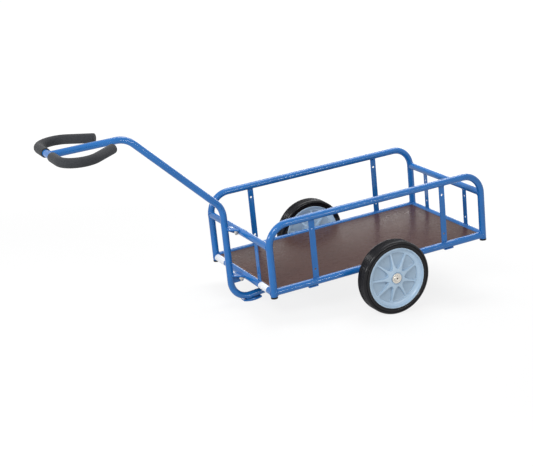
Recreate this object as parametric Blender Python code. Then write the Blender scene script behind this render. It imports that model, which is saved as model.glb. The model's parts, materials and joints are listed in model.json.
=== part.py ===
"""Platform hand cart: a welded tube frame round a plywood deck, two solid-tyred wheels and a
bent drawbar with a looped handle. Metres. +X runs towards the handle, +Y to the left, +Z up.
The cart is drawn level, then its root empty pitches it onto its wheels and its foot."""

import math

import bmesh
import bpy
from mathutils import Matrix, Vector

# Clearances
SEAT_GAP = 0.0003
COPE_GAP = 0.0008
RUNNING_GAP = 0.0006
CUT_OVERRUN = 0.004

# Frame tube, the same stock for the hoops, the rails, the drawbar and the handle
TUBE_R = 0.014
TUBE_WALL = 0.002
TUBE_SIDES = 16
CUTTER_SIDES = 21
BEND_STEP_ANGLE = math.radians(22.5)

# Frame, measured between tube centre lines, with the leg bottoms at height zero
LEG_X = 0.487
LEG_Y = 0.269
TOP_RAIL_Z = 0.2895
HOOP_BEND_R = 0.084
SIDE_RAIL_Z = 0.023
FRONT_LOWER_BAR_Z = 0.0215
REAR_LOWER_BAR_Z = 0.023
FRONT_UPPER_BAR_Z = 0.2075
REAR_UPPER_BAR_Z = 0.206

# Plastic cap in the foot of each leg
CAP_THICKNESS = 0.004
CAP_PLUG_LENGTH = 0.012
CAP_EDGE = 0.0012

# Flat posts
POST_WIDTH = 0.025
POST_THICKNESS = 0.004
POST_HOLE_R = 0.0045
SIDE_POST_HOLE_INSET = 0.036
END_POST_TOP_HOLE_INSET = 0.028
END_POST_LOW_HOLE_INSET = 0.033
SIDE_POST_X = 0.299
END_POST_Y = 0.148
HOLE_SIDES = 12

# Deck board and the two flat bars under it
BOARD_THICKNESS = 0.021
BOARD_EDGE = 0.0015
SUPPORT_X = 0.316
SUPPORT_WIDTH = 0.040
SUPPORT_THICKNESS = 0.005
SUPPORT_OVERHANG = 0.008

# Axle and what holds it
AXLE_Z = -0.0123
AXLE_R = 0.010
AXLE_SIDES = 20
BRACKET_THICKNESS = 0.008
BRACKET_TOP_HALF = 0.045
BRACKET_EYE_R = 0.022
BRACKET_EYE_STEPS = 12
SPACER_R = 0.014
SPACER_SIDES = 20

# Wheel
WHEEL_MID_Y = 0.3508
TYRE_HALF_WIDTH = 0.0282
TYRE_SHOULDER_R = 0.009
TYRE_BEAD_DEPTH = 0.0015
TYRE_BEAD_HEIGHT = 0.005
SHOULDER_STEPS = 3
RIM_R = 0.1238
TYRE_THICKNESS = 0.0262
WHEEL_R = RIM_R + TYRE_THICKNESS
RIM_HALF_WIDTH = 0.0292
RIM_LIP_WIDTH = 0.0030
RIM_LIP_EDGE = 0.0010
RIM_LIP_DROP = 0.0040
DISH_INSET = 0.0103
DISH_DEPTH = 0.0130
LEDGE_INSET = 0.0223
LEDGE_DEPTH = 0.0200
POCKET_INSET = 0.0258
POCKET_FLOOR = 0.0040
NOTCH_R = 0.0375
NOTCH_FLOOR_R = 0.0430
HUB_RING_R = 0.0280
HUB_RING_STEP = 0.0015
HUB_HALF_LENGTH = 0.0262
RIB_COUNT = 9
RIB_HALF_HUB = 0.0075
RIB_MID_R = 0.0620
RIB_HALF_MID = 0.0036
RIB_HALF_TIP = 0.0026
RIB_DRAFT = 0.0016
RIM_COLUMNS_PER_RIB = 4
LEFT_RIB_PHASE = math.radians(197.2)
RIGHT_RIB_PHASE = math.radians(17.2)

# Pressed cap on each axle end
AXLE_CAP_R = 0.021
AXLE_CAP_FLANGE = 0.0012
AXLE_CAP_DOME_R = 0.0135
AXLE_CAP_HEIGHT = 0.0042
AXLE_CAP_WALL = 0.0010

# Drawbar: centre line in the plane of symmetry
DRAWBAR_X = 0.5475
DRAWBAR_SLOPE_X = 0.854
DRAWBAR_SLOPE_Z = 0.625
DRAWBAR_SLOPE_ANGLE = math.radians(45.3)
DRAWBAR_BEND_R = 0.084
DRAWBAR_FOOT_CORNER_Z = -0.0780
DRAWBAR_FOOT_R = 0.073
DRAWBAR_TAIL_OVERRUN = 0.030

# Gusset brackets between the drawbar and the front bars: a sloping plate over an upright web
GUSSET_PLATE = 0.005
GUSSET_WEB = 0.005
GUSSET_HALF_AT_TUBE = 0.017
GUSSET_HALF_AT_BAR = 0.034
GUSSET_FALL = 0.0115
GUSSET_WEB_BITE = 0.007
UPPER_GUSSET_RISE = 0.0100
UPPER_WEB_AT_TUBE = 0.0150
UPPER_WEB_AT_BAR = -0.0145
LOWER_GUSSET_RISE = 0.0005
LOWER_WEB_AT_TUBE = -0.0265
LOWER_WEB_AT_BAR = -0.0265

# Skid under the drawbar foot
SKID_THICKNESS = 0.006
SKID_HALF_WIDTH = 0.015
SKID_INNER_R = 0.130
SKID_STAND_OFF = 0.0035
SKID_SET_BACK = 0.0125
SKID_FRONT_REACH = 0.043
SKID_REAR_REACH = 0.037
SKID_STEPS = 6
PAD_FRONT_REACH = 0.016
PAD_REAR_REACH = 0.014

# Folded bracket that holds the tail of the drawbar under the axle
CRADLE_HALF_LENGTH = 0.026
CRADLE_WALL = 0.004
CRADLE_RISE = 0.016

# Handle loop and its foam grips
HANDLE_X = 1.2073
HANDLE_Z = 0.6767
HANDLE_BEND_R = 0.0777
HANDLE_HALF_STRAIGHT = 0.1114
HANDLE_TURN = math.radians(129.1)
HANDLE_ARM = 0.106
GRIP_R = 0.0192
GRIP_START_Y = 0.037
GRIP_END_THICKNESS = 0.008
GRIP_EDGE = 0.004

MATERIALS = {
    "blue_paint": ((0.055, 0.19, 0.50), 0.30, 0.0),
    "plywood": ((0.095, 0.070, 0.065), 0.45, 0.0),
    "rim_plastic": ((0.42, 0.55, 0.68), 0.45, 0.0),
    "tyre_rubber": ((0.018, 0.018, 0.020), 0.60, 0.0),
    "grip_foam": ((0.035, 0.036, 0.040), 0.90, 0.0),
    "cap_plastic": ((0.015, 0.015, 0.016), 0.50, 0.0),
    "zinc": ((0.62, 0.60, 0.56), 0.35, 1.0),
}


def clear_scene():
    for item in list(bpy.data.objects):
        bpy.data.objects.remove(item)


def material(name):
    """The named finish, made once."""
    found = bpy.data.materials.get(name)
    if found:
        return found
    color, roughness, metallic = MATERIALS[name]
    made = bpy.data.materials.new(name)
    made.use_nodes = True
    made.diffuse_color = (*color, 1)
    shader = made.node_tree.nodes["Principled BSDF"]
    shader.inputs["Base Color"].default_value = (*color, 1)
    shader.inputs["Roughness"].default_value = roughness
    shader.inputs["Metallic"].default_value = metallic
    return made


def round_about(radius, sides, gap=SEAT_GAP):
    """Corner radius of a many-sided hole whose flats stay clear of a round piece."""
    return (radius + gap) / math.cos(math.pi / sides)


def add_empty(name, parent=None, location=(0, 0, 0), rotation=(0, 0, 0)):
    empty = bpy.data.objects.new(name, None)
    bpy.context.collection.objects.link(empty)
    empty.parent = parent
    empty.location = location
    empty.rotation_euler = rotation
    return empty


def add_piece(name, mesh, finish, parent, location=(0, 0, 0), rotation=(0, 0, 0)):
    """One named solid, under the empty that carries it."""
    piece = bpy.data.objects.new(name, mesh)
    bpy.context.collection.objects.link(piece)
    if not mesh.materials:
        mesh.materials.append(material(finish))
    piece.parent = parent
    piece.location = location
    piece.rotation_euler = rotation
    return piece


def finish_mesh(bm, name):
    """Turns the working mesh into a stored one with outward faces and smooth round sides."""
    bmesh.ops.recalc_face_normals(bm, faces=bm.faces)
    mesh = bpy.data.meshes.new(name)
    bm.to_mesh(mesh)
    bm.free()
    smooth_rounds(mesh)
    return mesh


def smooth_rounds(mesh):
    mesh.shade_smooth()
    mesh.set_sharp_from_angle(angle=math.radians(35))


def change(piece, tool, operation):
    """Takes the tool out of the piece, or joins it on, and drops the tool."""
    step = piece.modifiers.new("change", "BOOLEAN")
    step.operation = operation
    step.solver = "EXACT"
    step.object = tool
    bpy.context.view_layer.update()
    view = bpy.context.evaluated_depsgraph_get()
    mesh = bpy.data.meshes.new_from_object(piece.evaluated_get(view))
    piece.modifiers.remove(step)
    piece.data = mesh
    smooth_rounds(mesh)
    bpy.data.objects.remove(tool)


def rounded_path(corners, bend_radii):
    """Points of a line through the corners, each inner corner turned on its bend radius."""
    points = [Vector(corners[0])]
    for before, corner, after, radius in zip(corners, corners[1:], corners[2:], bend_radii):
        corner = Vector(corner)
        back = (Vector(before) - corner).normalized()
        ahead = (Vector(after) - corner).normalized()
        turn = math.pi - back.angle(ahead)
        centre = corner + (back + ahead).normalized() * (radius / math.cos(turn / 2))
        start = corner + back * (radius * math.tan(turn / 2))
        spoke = start - centre
        axis = spoke.cross(-back).normalized()
        steps = max(2, math.ceil(turn / BEND_STEP_ANGLE))
        for index in range(steps + 1):
            points.append(centre + Matrix.Rotation(turn * index / steps, 3, axis) @ spoke)
    points.append(Vector(corners[-1]))
    return points


def ring_of_points(bm, path, index, side, radius, sides):
    """A ring round one point of a flat path, in the plane that halves the bend there."""
    point = path[index]
    into = (point - path[index - 1]).normalized() if index > 0 else None
    out = (path[index + 1] - point).normalized() if index < len(path) - 1 else None
    along = ((into or out) + (out or into)).normalized()
    across = along.cross(side).normalized()
    stretch = 1 / along.dot(out or into)
    ring = []
    for step in range(sides):
        angle = 2 * math.pi * step / sides
        offset = side * math.cos(angle) + across * (math.sin(angle) * stretch)
        ring.append(bm.verts.new(point + offset * radius))
    return ring


def join_rings(bm, first, second):
    """Faces between two rings; a ring of one point is a pole."""
    count = max(len(first), len(second))
    for step in range(count):
        after = (step + 1) % count
        corners = [first[step % len(first)], first[after % len(first)]]
        corners += [second[after % len(second)], second[step % len(second)]]
        bm.faces.new(list(dict.fromkeys(corners)))


def tube_mesh(name, path, side, outer_r=TUBE_R, inner_r=TUBE_R - TUBE_WALL, sides=TUBE_SIDES):
    """A bent tube, open at both ends; with no inner radius it is a solid rod."""
    bm = bmesh.new()
    side = Vector(side)
    spots = range(len(path))
    outer = [ring_of_points(bm, path, spot, side, outer_r, sides) for spot in spots]
    for first, second in zip(outer, outer[1:]):
        join_rings(bm, first, second)
    if inner_r:
        inner = [ring_of_points(bm, path, spot, side, inner_r, sides) for spot in spots]
        for first, second in zip(inner, inner[1:]):
            join_rings(bm, first, second)
        join_rings(bm, outer[0], inner[0])
        join_rings(bm, outer[-1], inner[-1])
    else:
        bm.faces.new(outer[0])
        bm.faces.new(outer[-1])
    return finish_mesh(bm, name)


def turned_mesh(name, profile, sides, closed=False, phase=0):
    """Turns (radius, height) points round local Z; a zero radius is a pole."""
    bm = bmesh.new()
    rings = []
    for radius, height in profile:
        count = sides if radius > 0 else 1
        ring = []
        for step in range(count):
            angle = phase + 2 * math.pi * step / sides
            ring.append(bm.verts.new((radius * math.cos(angle), radius * math.sin(angle), height)))
        rings.append(ring)
    for first, second in zip(rings, rings[1:]):
        join_rings(bm, first, second)
    if closed:
        join_rings(bm, rings[-1], rings[0])
    return finish_mesh(bm, name)


def extruded_mesh(name, outline, depth):
    """A flat outline in local XY, thickened evenly either side of it."""
    bm = bmesh.new()
    low = [bm.verts.new((x, y, -depth / 2)) for x, y in outline]
    high = [bm.verts.new((x, y, depth / 2)) for x, y in outline]
    join_rings(bm, low, high)
    bm.faces.new(low)
    bm.faces.new(high)
    return finish_mesh(bm, name)


def rectangle(half_x, half_y):
    return [(-half_x, -half_y), (half_x, -half_y), (half_x, half_y), (-half_x, half_y)]


def pin_cutter(centres, radius, reach, sides=HOLE_SIDES):
    """Round cutters along local Z at the given (x, y) places."""
    bm = bmesh.new()
    for x, y in centres:
        place = Matrix.Translation((x, y, 0))
        bmesh.ops.create_cone(bm, cap_ends=True, segments=sides, radius1=radius,
                              radius2=radius, depth=2 * reach, matrix=place)
    return finish_mesh(bm, "pin_cutter")


def hoop_path(sign, foot_z):
    """Centre line of the hoop of one side, from the rear foot to the front foot."""
    y = sign * LEG_Y
    corners = [(-LEG_X, y, foot_z), (-LEG_X, y, TOP_RAIL_Z), (LEG_X, y, TOP_RAIL_Z), (LEG_X, y, foot_z)]
    return rounded_path(corners, [HOOP_BEND_R, HOOP_BEND_R])


def tube_cutter(path, side):
    """What a piece fitted round this tube has to leave free."""
    radius = round_about(TUBE_R, CUTTER_SIDES)
    mesh = tube_mesh("tube_cutter", path, side, radius, 0, CUTTER_SIDES)
    return add_piece("tube_cutter", mesh, "blue_paint", None)


def coped_tube_mesh(name, reach):
    """A straight tube along local X whose two ends are cut to fit round the tubes it meets.
    The reach function gives where the wall ends, for a place (y, z) in the tube's section."""
    bm = bmesh.new()
    skins = []
    for radius in (TUBE_R, TUBE_R - TUBE_WALL):
        ends = {-1: [], 1: []}
        for step in range(TUBE_SIDES):
            angle = 2 * math.pi * step / TUBE_SIDES
            y = radius * math.cos(angle)
            z = radius * math.sin(angle)
            for end, ring in ends.items():
                ring.append(bm.verts.new((end * reach(y, z), y, z)))
        join_rings(bm, ends[-1], ends[1])
        skins.append(ends)
    for end in (-1, 1):
        join_rings(bm, skins[0][end], skins[1][end])
    return finish_mesh(bm, name)


def saddle(offset):
    """How far a round tube's surface stands off its centre line, this far to one side."""
    return math.sqrt(max(0, (TUBE_R + COPE_GAP) ** 2 - offset ** 2))


def leg_lean(z):
    """How far the hoop's centre line has moved inwards at this height, once its bend starts."""
    path = hoop_path(1, 0)
    for low, high in zip(path, path[1:]):
        if low.z <= z <= high.z:
            return LEG_X + low.x + (high.x - low.x) * (z - low.z) / (high.z - low.z)
    return 0


def side_name(sign):
    return "left" if sign > 0 else "right"


def end_name(sign):
    return "front" if sign > 0 else "rear"


def add_side_hoops(cart):
    for sign in (1, -1):
        path = hoop_path(sign, CAP_THICKNESS)
        mesh = tube_mesh("side_hoop", path, (0, 1, 0))
        add_piece(f"side_hoop_{side_name(sign)}", mesh, "blue_paint", cart)


def add_leg_caps(cart):
    """Plastic caps: a plug inside the tube and a rounded disc that the leg stands on."""
    plug_r = TUBE_R - TUBE_WALL - SEAT_GAP
    disc_top = CAP_THICKNESS - SEAT_GAP
    profile = [(0, 0), (TUBE_R - CAP_EDGE, 0), (TUBE_R, CAP_EDGE), (TUBE_R, disc_top)]
    profile += [(plug_r * math.cos(math.pi / TUBE_SIDES), disc_top)]
    profile += [(plug_r * math.cos(math.pi / TUBE_SIDES), disc_top + CAP_PLUG_LENGTH)]
    profile += [(0, disc_top + CAP_PLUG_LENGTH)]
    mesh = turned_mesh("leg_cap", profile, TUBE_SIDES)
    for end in (1, -1):
        for sign in (1, -1):
            name = f"leg_cap_{end_name(end)}_{side_name(sign)}"
            add_piece(name, mesh, "cap_plastic", cart, (end * LEG_X, sign * LEG_Y, 0))


def add_side_rails(cart):
    mesh = coped_tube_mesh("side_rail", lambda y, z: LEG_X - saddle(y))
    for sign in (1, -1):
        place = (0, sign * LEG_Y, SIDE_RAIL_Z)
        add_piece(f"side_rail_{side_name(sign)}", mesh, "blue_paint", cart, place)


def add_end_bar(cart, name, end, bar_z, meets_rail):
    """A cross tube coped to the legs, and mitred to the side rails where it meets them."""
    def reach(x, z):
        stand_off = saddle(x + leg_lean(bar_z + z))
        if meets_rail and x < 0:
            stand_off = max(stand_off, saddle(bar_z + z - SIDE_RAIL_Z))
        return LEG_Y - stand_off

    mesh = coped_tube_mesh(name, reach)
    turn = -end * math.pi / 2
    add_piece(name, mesh, "blue_paint", cart, (end * LEG_X, 0, bar_z), (0, 0, turn))


def add_end_bars(cart):
    add_end_bar(cart, "end_bar_front_upper", 1, FRONT_UPPER_BAR_Z, False)
    add_end_bar(cart, "end_bar_rear_upper", -1, REAR_UPPER_BAR_Z, False)
    add_end_bar(cart, "end_bar_front_lower", 1, FRONT_LOWER_BAR_Z, True)
    add_end_bar(cart, "end_bar_rear_lower", -1, REAR_LOWER_BAR_Z, True)


def post_mesh(low_z, high_z, low_inset, high_inset):
    """A flat bar standing in local XZ between two tubes, with a hole near each end."""
    height = high_z - low_z
    mesh = extruded_mesh("post", rectangle(POST_WIDTH / 2, height / 2), POST_THICKNESS)
    post = add_piece("post", mesh, "blue_paint", None)
    places = [(0, height / 2 - high_inset), (0, low_inset - height / 2)]
    cutter = pin_cutter(places, POST_HOLE_R, POST_THICKNESS)
    change(post, add_piece("hole_cutter", cutter, "blue_paint", None), "DIFFERENCE")
    drilled = post.data
    bpy.data.objects.remove(post)
    return drilled


def add_side_posts(cart):
    low = SIDE_RAIL_Z + TUBE_R + SEAT_GAP
    high = TOP_RAIL_Z - TUBE_R - SEAT_GAP
    mesh = post_mesh(low, high, SIDE_POST_HOLE_INSET, SIDE_POST_HOLE_INSET)
    upright = (math.pi / 2, 0, 0)
    for end in (1, -1):
        for sign in (1, -1):
            place = (end * SIDE_POST_X, sign * LEG_Y, (low + high) / 2)
            name = f"side_post_{end_name(end)}_{side_name(sign)}"
            add_piece(name, mesh, "blue_paint", cart, place, upright)


def add_end_posts(cart):
    across = (math.pi / 2, 0, math.pi / 2)
    heights = ((1, FRONT_LOWER_BAR_Z, FRONT_UPPER_BAR_Z), (-1, REAR_LOWER_BAR_Z, REAR_UPPER_BAR_Z))
    for end, low_bar_z, high_bar_z in heights:
        low = low_bar_z + TUBE_R + SEAT_GAP
        high = high_bar_z - TUBE_R - SEAT_GAP
        mesh = post_mesh(low, high, END_POST_LOW_HOLE_INSET, END_POST_TOP_HOLE_INSET)
        for sign in (1, -1):
            place = (end * LEG_X, sign * END_POST_Y, (low + high) / 2)
            name = f"end_post_{end_name(end)}_{side_name(sign)}"
            add_piece(name, mesh, "blue_paint", cart, place, across)


def support_top_z():
    """The flat bars are welded under the side rails."""
    return SIDE_RAIL_Z - TUBE_R - SEAT_GAP


def add_deck(cart):
    """The board lies between the rails on two flat bars that pass under them."""
    half_x = LEG_X - TUBE_R - SEAT_GAP
    half_y = LEG_Y - TUBE_R - SEAT_GAP
    low_z = support_top_z() + SEAT_GAP
    bm = bmesh.new()
    bmesh.ops.create_cube(bm, size=1)
    bmesh.ops.scale(bm, vec=(2 * half_x, 2 * half_y, BOARD_THICKNESS), verts=bm.verts)
    bmesh.ops.bevel(bm, geom=bm.edges, offset=BOARD_EDGE, segments=1, affect="EDGES")
    board = finish_mesh(bm, "deck_board")
    add_piece("deck_board", board, "plywood", cart, (0, 0, low_z + BOARD_THICKNESS / 2))
    bar = extruded_mesh("deck_support", rectangle(SUPPORT_WIDTH / 2, LEG_Y + SUPPORT_OVERHANG),
                        SUPPORT_THICKNESS)
    for end in (1, -1):
        place = (end * SUPPORT_X, 0, support_top_z() - SUPPORT_THICKNESS / 2)
        add_piece(f"deck_support_{end_name(end)}", bar, "blue_paint", cart, place)


def bracket_outline(top):
    """Plate under the rail that narrows to an eye round the axle; local Y is height from the axle."""
    slope = math.atan2(top, BRACKET_TOP_HALF - BRACKET_EYE_R)
    points = [(BRACKET_TOP_HALF, top), (-BRACKET_TOP_HALF, top)]
    start = math.pi / 2 + slope
    sweep = 2 * slope
    for step in range(BRACKET_EYE_STEPS + 1):
        angle = start + (2 * math.pi - sweep) * step / BRACKET_EYE_STEPS
        if math.sin(angle) * BRACKET_EYE_R < top - BRACKET_THICKNESS / 2:
            points.append((BRACKET_EYE_R * math.cos(angle), BRACKET_EYE_R * math.sin(angle)))
    return points


def add_axle(cart):
    """A straight bar from wheel to wheel through two plates that hang from the side rails."""
    face_y = WHEEL_MID_Y + HUB_HALF_LENGTH
    half = face_y + RUNNING_GAP + AXLE_CAP_HEIGHT - AXLE_CAP_WALL - SEAT_GAP
    profile = [(0, -half), (AXLE_R, -half), (AXLE_R, half), (0, half)]
    lengthwise = (-math.pi / 2, 0, 0)
    add_piece("axle", turned_mesh("axle", profile, AXLE_SIDES), "zinc", cart, (0, 0, AXLE_Z), lengthwise)

    top = support_top_z() - AXLE_Z
    mesh = extruded_mesh("axle_bracket", bracket_outline(top), BRACKET_THICKNESS)
    for sign in (1, -1):
        plate = add_piece(f"axle_bracket_{side_name(sign)}", mesh.copy(), "blue_paint", cart,
                          (0, sign * LEG_Y, AXLE_Z), (math.pi / 2, 0, 0))
        hole = pin_cutter([(0, 0)], round_about(AXLE_R, AXLE_SIDES), BRACKET_THICKNESS, AXLE_SIDES)
        cutter = add_piece("axle_cutter", hole, "blue_paint", cart, plate.location, plate.rotation_euler)
        change(plate, cutter, "DIFFERENCE")

    low = LEG_Y + BRACKET_THICKNESS / 2 + SEAT_GAP
    high = WHEEL_MID_Y - HUB_HALF_LENGTH - RUNNING_GAP
    bore = round_about(AXLE_R, SPACER_SIDES)
    ring = [(bore, low), (SPACER_R, low), (SPACER_R, high), (bore, high)]
    mesh = turned_mesh("axle_spacer", ring, SPACER_SIDES, closed=True)
    for sign in (1, -1):
        add_piece(f"axle_spacer_{side_name(sign)}", mesh, "zinc", cart, (0, 0, AXLE_Z),
                  (-sign * math.pi / 2, 0, 0))
    add_axle_caps(cart, half)


def add_axle_caps(cart, axle_end):
    """Domed caps pressed onto the axle ends, just proud of the hubs."""
    face = WHEEL_MID_Y + HUB_HALF_LENGTH + RUNNING_GAP
    crown = face + AXLE_CAP_HEIGHT
    bore = round_about(AXLE_R, AXLE_SIDES)
    roof = axle_end + SEAT_GAP
    brim = face + AXLE_CAP_FLANGE
    profile = [(0, crown), (AXLE_CAP_DOME_R - AXLE_CAP_WALL, crown), (AXLE_CAP_DOME_R, brim)]
    profile += [(AXLE_CAP_R, brim), (AXLE_CAP_R, face), (bore, face), (bore, roof), (0, roof)]
    mesh = turned_mesh("axle_cap", profile, AXLE_SIDES)
    for sign in (1, -1):
        add_piece(f"axle_cap_{side_name(sign)}", mesh, "zinc", cart, (0, 0, AXLE_Z),
                  (-sign * math.pi / 2, 0, 0))


def rib_top(radius):
    """Height of a rib's crest over the middle of the wheel: it falls from the hub to the ledge."""
    share = (radius - HUB_RING_R) / (RIM_R - LEDGE_INSET - HUB_RING_R)
    hub = HUB_HALF_LENGTH - HUB_RING_STEP
    ledge = RIM_HALF_WIDTH - LEDGE_DEPTH
    return hub + (ledge - hub) * share


def rim_row(bm, radius, crest, floor, half_rib, side, phase):
    """One ring of the rim's face. Each rib has two crest points; the pocket has its floor points."""
    sector = 2 * math.pi / RIB_COUNT
    ring = []
    for rib in range(RIB_COUNT):
        for column in range(RIM_COLUMNS_PER_RIB):
            angle = sector * (column - 1 / 2) / RIM_COLUMNS_PER_RIB
            if half_rib:
                edge = math.asin(half_rib / radius)
                foot = math.asin(min((half_rib + RIB_DRAFT) / radius, math.sin(sector / 2)))
                spread = (sector - 2 * foot) / (RIM_COLUMNS_PER_RIB - 3)
                angle = (2 * column - 1) * edge if column < 2 else foot + spread * (column - 2)
            height = crest if column < 2 else floor
            turn = phase + sector * rib + angle
            ring.append(bm.verts.new((radius * math.cos(turn), radius * math.sin(turn), side * height)))
    return ring


def rim_mesh(phase):
    """Moulded wheel centre: a closed web with ribs and a dished barrel, alike on both faces."""
    bore = round_about(AXLE_R, RIB_COUNT * RIM_COLUMNS_PER_RIB, RUNNING_GAP)
    hub = HUB_HALF_LENGTH
    apex_half = NOTCH_R * math.sin(math.pi / RIB_COUNT) - RIB_DRAFT
    rows = [(bore, hub, hub, 0), (HUB_RING_R, hub, hub, 0)]
    rows += [(HUB_RING_R, hub - HUB_RING_STEP, hub - HUB_RING_STEP, 0)]
    rows += [(NOTCH_R, rib_top(NOTCH_R), rib_top(NOTCH_R), apex_half)]
    rows += [(NOTCH_FLOOR_R, rib_top(NOTCH_FLOOR_R), POCKET_FLOOR, RIB_HALF_HUB)]
    rows += [(RIB_MID_R, rib_top(RIB_MID_R), POCKET_FLOOR, RIB_HALF_MID)]
    pocket_r = RIM_R - POCKET_INSET
    rows += [(pocket_r, rib_top(pocket_r), POCKET_FLOOR, RIB_HALF_TIP)]
    ledge_r = RIM_R - LEDGE_INSET
    rows += [(ledge_r, rib_top(ledge_r), rib_top(ledge_r), 0)]
    rows += [(RIM_R - DISH_INSET, RIM_HALF_WIDTH - DISH_DEPTH, RIM_HALF_WIDTH - DISH_DEPTH, 0)]
    lip_low = RIM_HALF_WIDTH - RIM_LIP_DROP
    rows += [(RIM_R - RIM_LIP_WIDTH - RIM_LIP_EDGE, lip_low, lip_low, 0)]
    rows += [(RIM_R - RIM_LIP_WIDTH, RIM_HALF_WIDTH, RIM_HALF_WIDTH, 0)]
    rows += [(RIM_R - RIM_LIP_EDGE, RIM_HALF_WIDTH, RIM_HALF_WIDTH, 0)]
    rows += [(RIM_R, RIM_HALF_WIDTH - RIM_LIP_EDGE, RIM_HALF_WIDTH - RIM_LIP_EDGE, 0)]
    bm = bmesh.new()
    faces = []
    for side in (1, -1):
        rings = [rim_row(bm, *row, side, phase) for row in rows]
        for first, second in zip(rings, rings[1:]):
            join_rings(bm, first, second)
        faces.append(rings)
    for row in (0, -1):
        join_rings(bm, faces[0][row], faces[1][row])
    return finish_mesh(bm, "rim")


def tyre_profile():
    """Closed half section of the solid tyre, from the seat on the rim out to the tread."""
    seat = RIM_R + SEAT_GAP
    half = TYRE_HALF_WIDTH
    side = [(seat, half - TYRE_BEAD_DEPTH), (seat + TYRE_BEAD_HEIGHT, half - TYRE_BEAD_DEPTH)]
    side += [(seat + TYRE_BEAD_HEIGHT + TYRE_BEAD_DEPTH, half)]
    for step in range(SHOULDER_STEPS + 1):
        angle = math.pi / 2 * (1 - step / SHOULDER_STEPS)
        radius = WHEEL_R - TYRE_SHOULDER_R + TYRE_SHOULDER_R * math.cos(angle)
        height = half - TYRE_SHOULDER_R + TYRE_SHOULDER_R * math.sin(angle)
        side.append((radius, height))
    return side + [(radius, -height) for radius, height in reversed(side)]


def add_wheels(cart):
    sides = RIB_COUNT * RIM_COLUMNS_PER_RIB
    for sign, phase in ((1, LEFT_RIB_PHASE), (-1, RIGHT_RIB_PHASE)):
        name = side_name(sign)
        place = (0, sign * WHEEL_MID_Y, AXLE_Z)
        spin = add_empty(f"wheel_{name}_axis", cart, place, (-sign * math.pi / 2, 0, 0))
        add_piece(f"rim_{name}", rim_mesh(phase), "rim_plastic", spin)
        first = phase - math.pi / sides
        tyre = turned_mesh("tyre", tyre_profile(), sides, closed=True, phase=first)
        add_piece(f"tyre_{name}", tyre, "tyre_rubber", spin)


def drawbar_path():
    """From the handle back and down the slope, down the upright, round the foot and to the axle."""
    rise = math.tan(DRAWBAR_SLOPE_ANGLE)
    knee_x = DRAWBAR_SLOPE_X + (HANDLE_Z - DRAWBAR_SLOPE_Z) / rise
    knee = (knee_x, 0, HANDLE_Z)
    hip = (DRAWBAR_X, 0, DRAWBAR_SLOPE_Z + (DRAWBAR_X - DRAWBAR_SLOPE_X) * rise)
    foot = (DRAWBAR_X, 0, DRAWBAR_FOOT_CORNER_Z)
    tail = (-DRAWBAR_TAIL_OVERRUN, 0, tail_end_z())
    corners = [(HANDLE_X, 0, HANDLE_Z), knee, hip, foot, tail]
    return rounded_path(corners, [DRAWBAR_BEND_R, DRAWBAR_BEND_R, DRAWBAR_FOOT_R])


def tail_angle():
    """Rise of the tail towards the rear, so that it passes just under the axle."""
    reach = math.hypot(DRAWBAR_X, AXLE_Z - DRAWBAR_FOOT_CORNER_Z)
    stand_off = AXLE_R + SEAT_GAP + TUBE_R
    return math.atan2(AXLE_Z - DRAWBAR_FOOT_CORNER_Z, DRAWBAR_X) - math.asin(stand_off / reach)


def tail_end_z():
    return DRAWBAR_FOOT_CORNER_Z + math.tan(tail_angle()) * (DRAWBAR_X + DRAWBAR_TAIL_OVERRUN)


def foot_centre():
    """Centre of the bend at the drawbar's foot."""
    x = DRAWBAR_X - DRAWBAR_FOOT_R
    angle = tail_angle()
    z = DRAWBAR_FOOT_CORNER_Z + DRAWBAR_FOOT_R * (math.tan(angle) + 1 / math.cos(angle))
    return x, z


def add_drawbar(cart):
    bar = add_piece("drawbar", tube_mesh("drawbar", drawbar_path(), (0, 1, 0)), "blue_paint", cart)
    change(bar, tube_cutter(handle_path(0), (0, 0, 1)), "DIFFERENCE")


def prism_mesh(name, low, high):
    """A solid between two outlines of as many points."""
    bm = bmesh.new()
    first = [bm.verts.new(point) for point in low]
    last = [bm.verts.new(point) for point in high]
    join_rings(bm, first, last)
    bm.faces.new(first)
    bm.faces.new(last)
    return finish_mesh(bm, name)


def add_gusset(cart, name, bar_z, rise, web_at_tube, web_at_bar):
    """Bracket of one front bar: a plate that slopes down from the upright to the bar, widening on
    its way, over an upright web. Its two ends are cut to fit round the tube and the bar. The heights
    of the plate and of the web's lower edge count from the bar's centre line."""
    rear_x = LEG_X
    front_x = DRAWBAR_X
    rear_z = bar_z + rise
    front_z = rear_z + GUSSET_FALL
    top = [(front_x, GUSSET_HALF_AT_TUBE, front_z), (rear_x, GUSSET_HALF_AT_BAR, rear_z)]
    top += [(x, -y, z) for x, y, z in reversed(top)]
    bottom = [(x, y, z - GUSSET_PLATE) for x, y, z in top]
    plate = add_piece(name, prism_mesh(name, bottom, top), "blue_paint", cart)
    half_web = GUSSET_WEB / 2
    middle_plate = GUSSET_PLATE / 2
    web_rear_x = LEG_X + TUBE_R - GUSSET_WEB_BITE
    web_rear_z = rear_z + GUSSET_FALL * (web_rear_x - rear_x) / (front_x - rear_x)
    side = [(front_x, half_web, front_z - middle_plate), (web_rear_x, half_web, web_rear_z - middle_plate)]
    side += [(web_rear_x, half_web, bar_z + web_at_bar), (front_x, half_web, bar_z + web_at_tube)]
    other = [(x, -y, z) for x, y, z in side]
    web = add_piece("web", prism_mesh("web", other, side), "blue_paint", cart)
    change(plate, web, "UNION")
    change(plate, tube_cutter(drawbar_path(), (0, 1, 0)), "DIFFERENCE")
    bar = [Vector((LEG_X, -LEG_Y, bar_z)), Vector((LEG_X, LEG_Y, bar_z))]
    change(plate, tube_cutter(bar, (0, 0, 1)), "DIFFERENCE")


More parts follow.
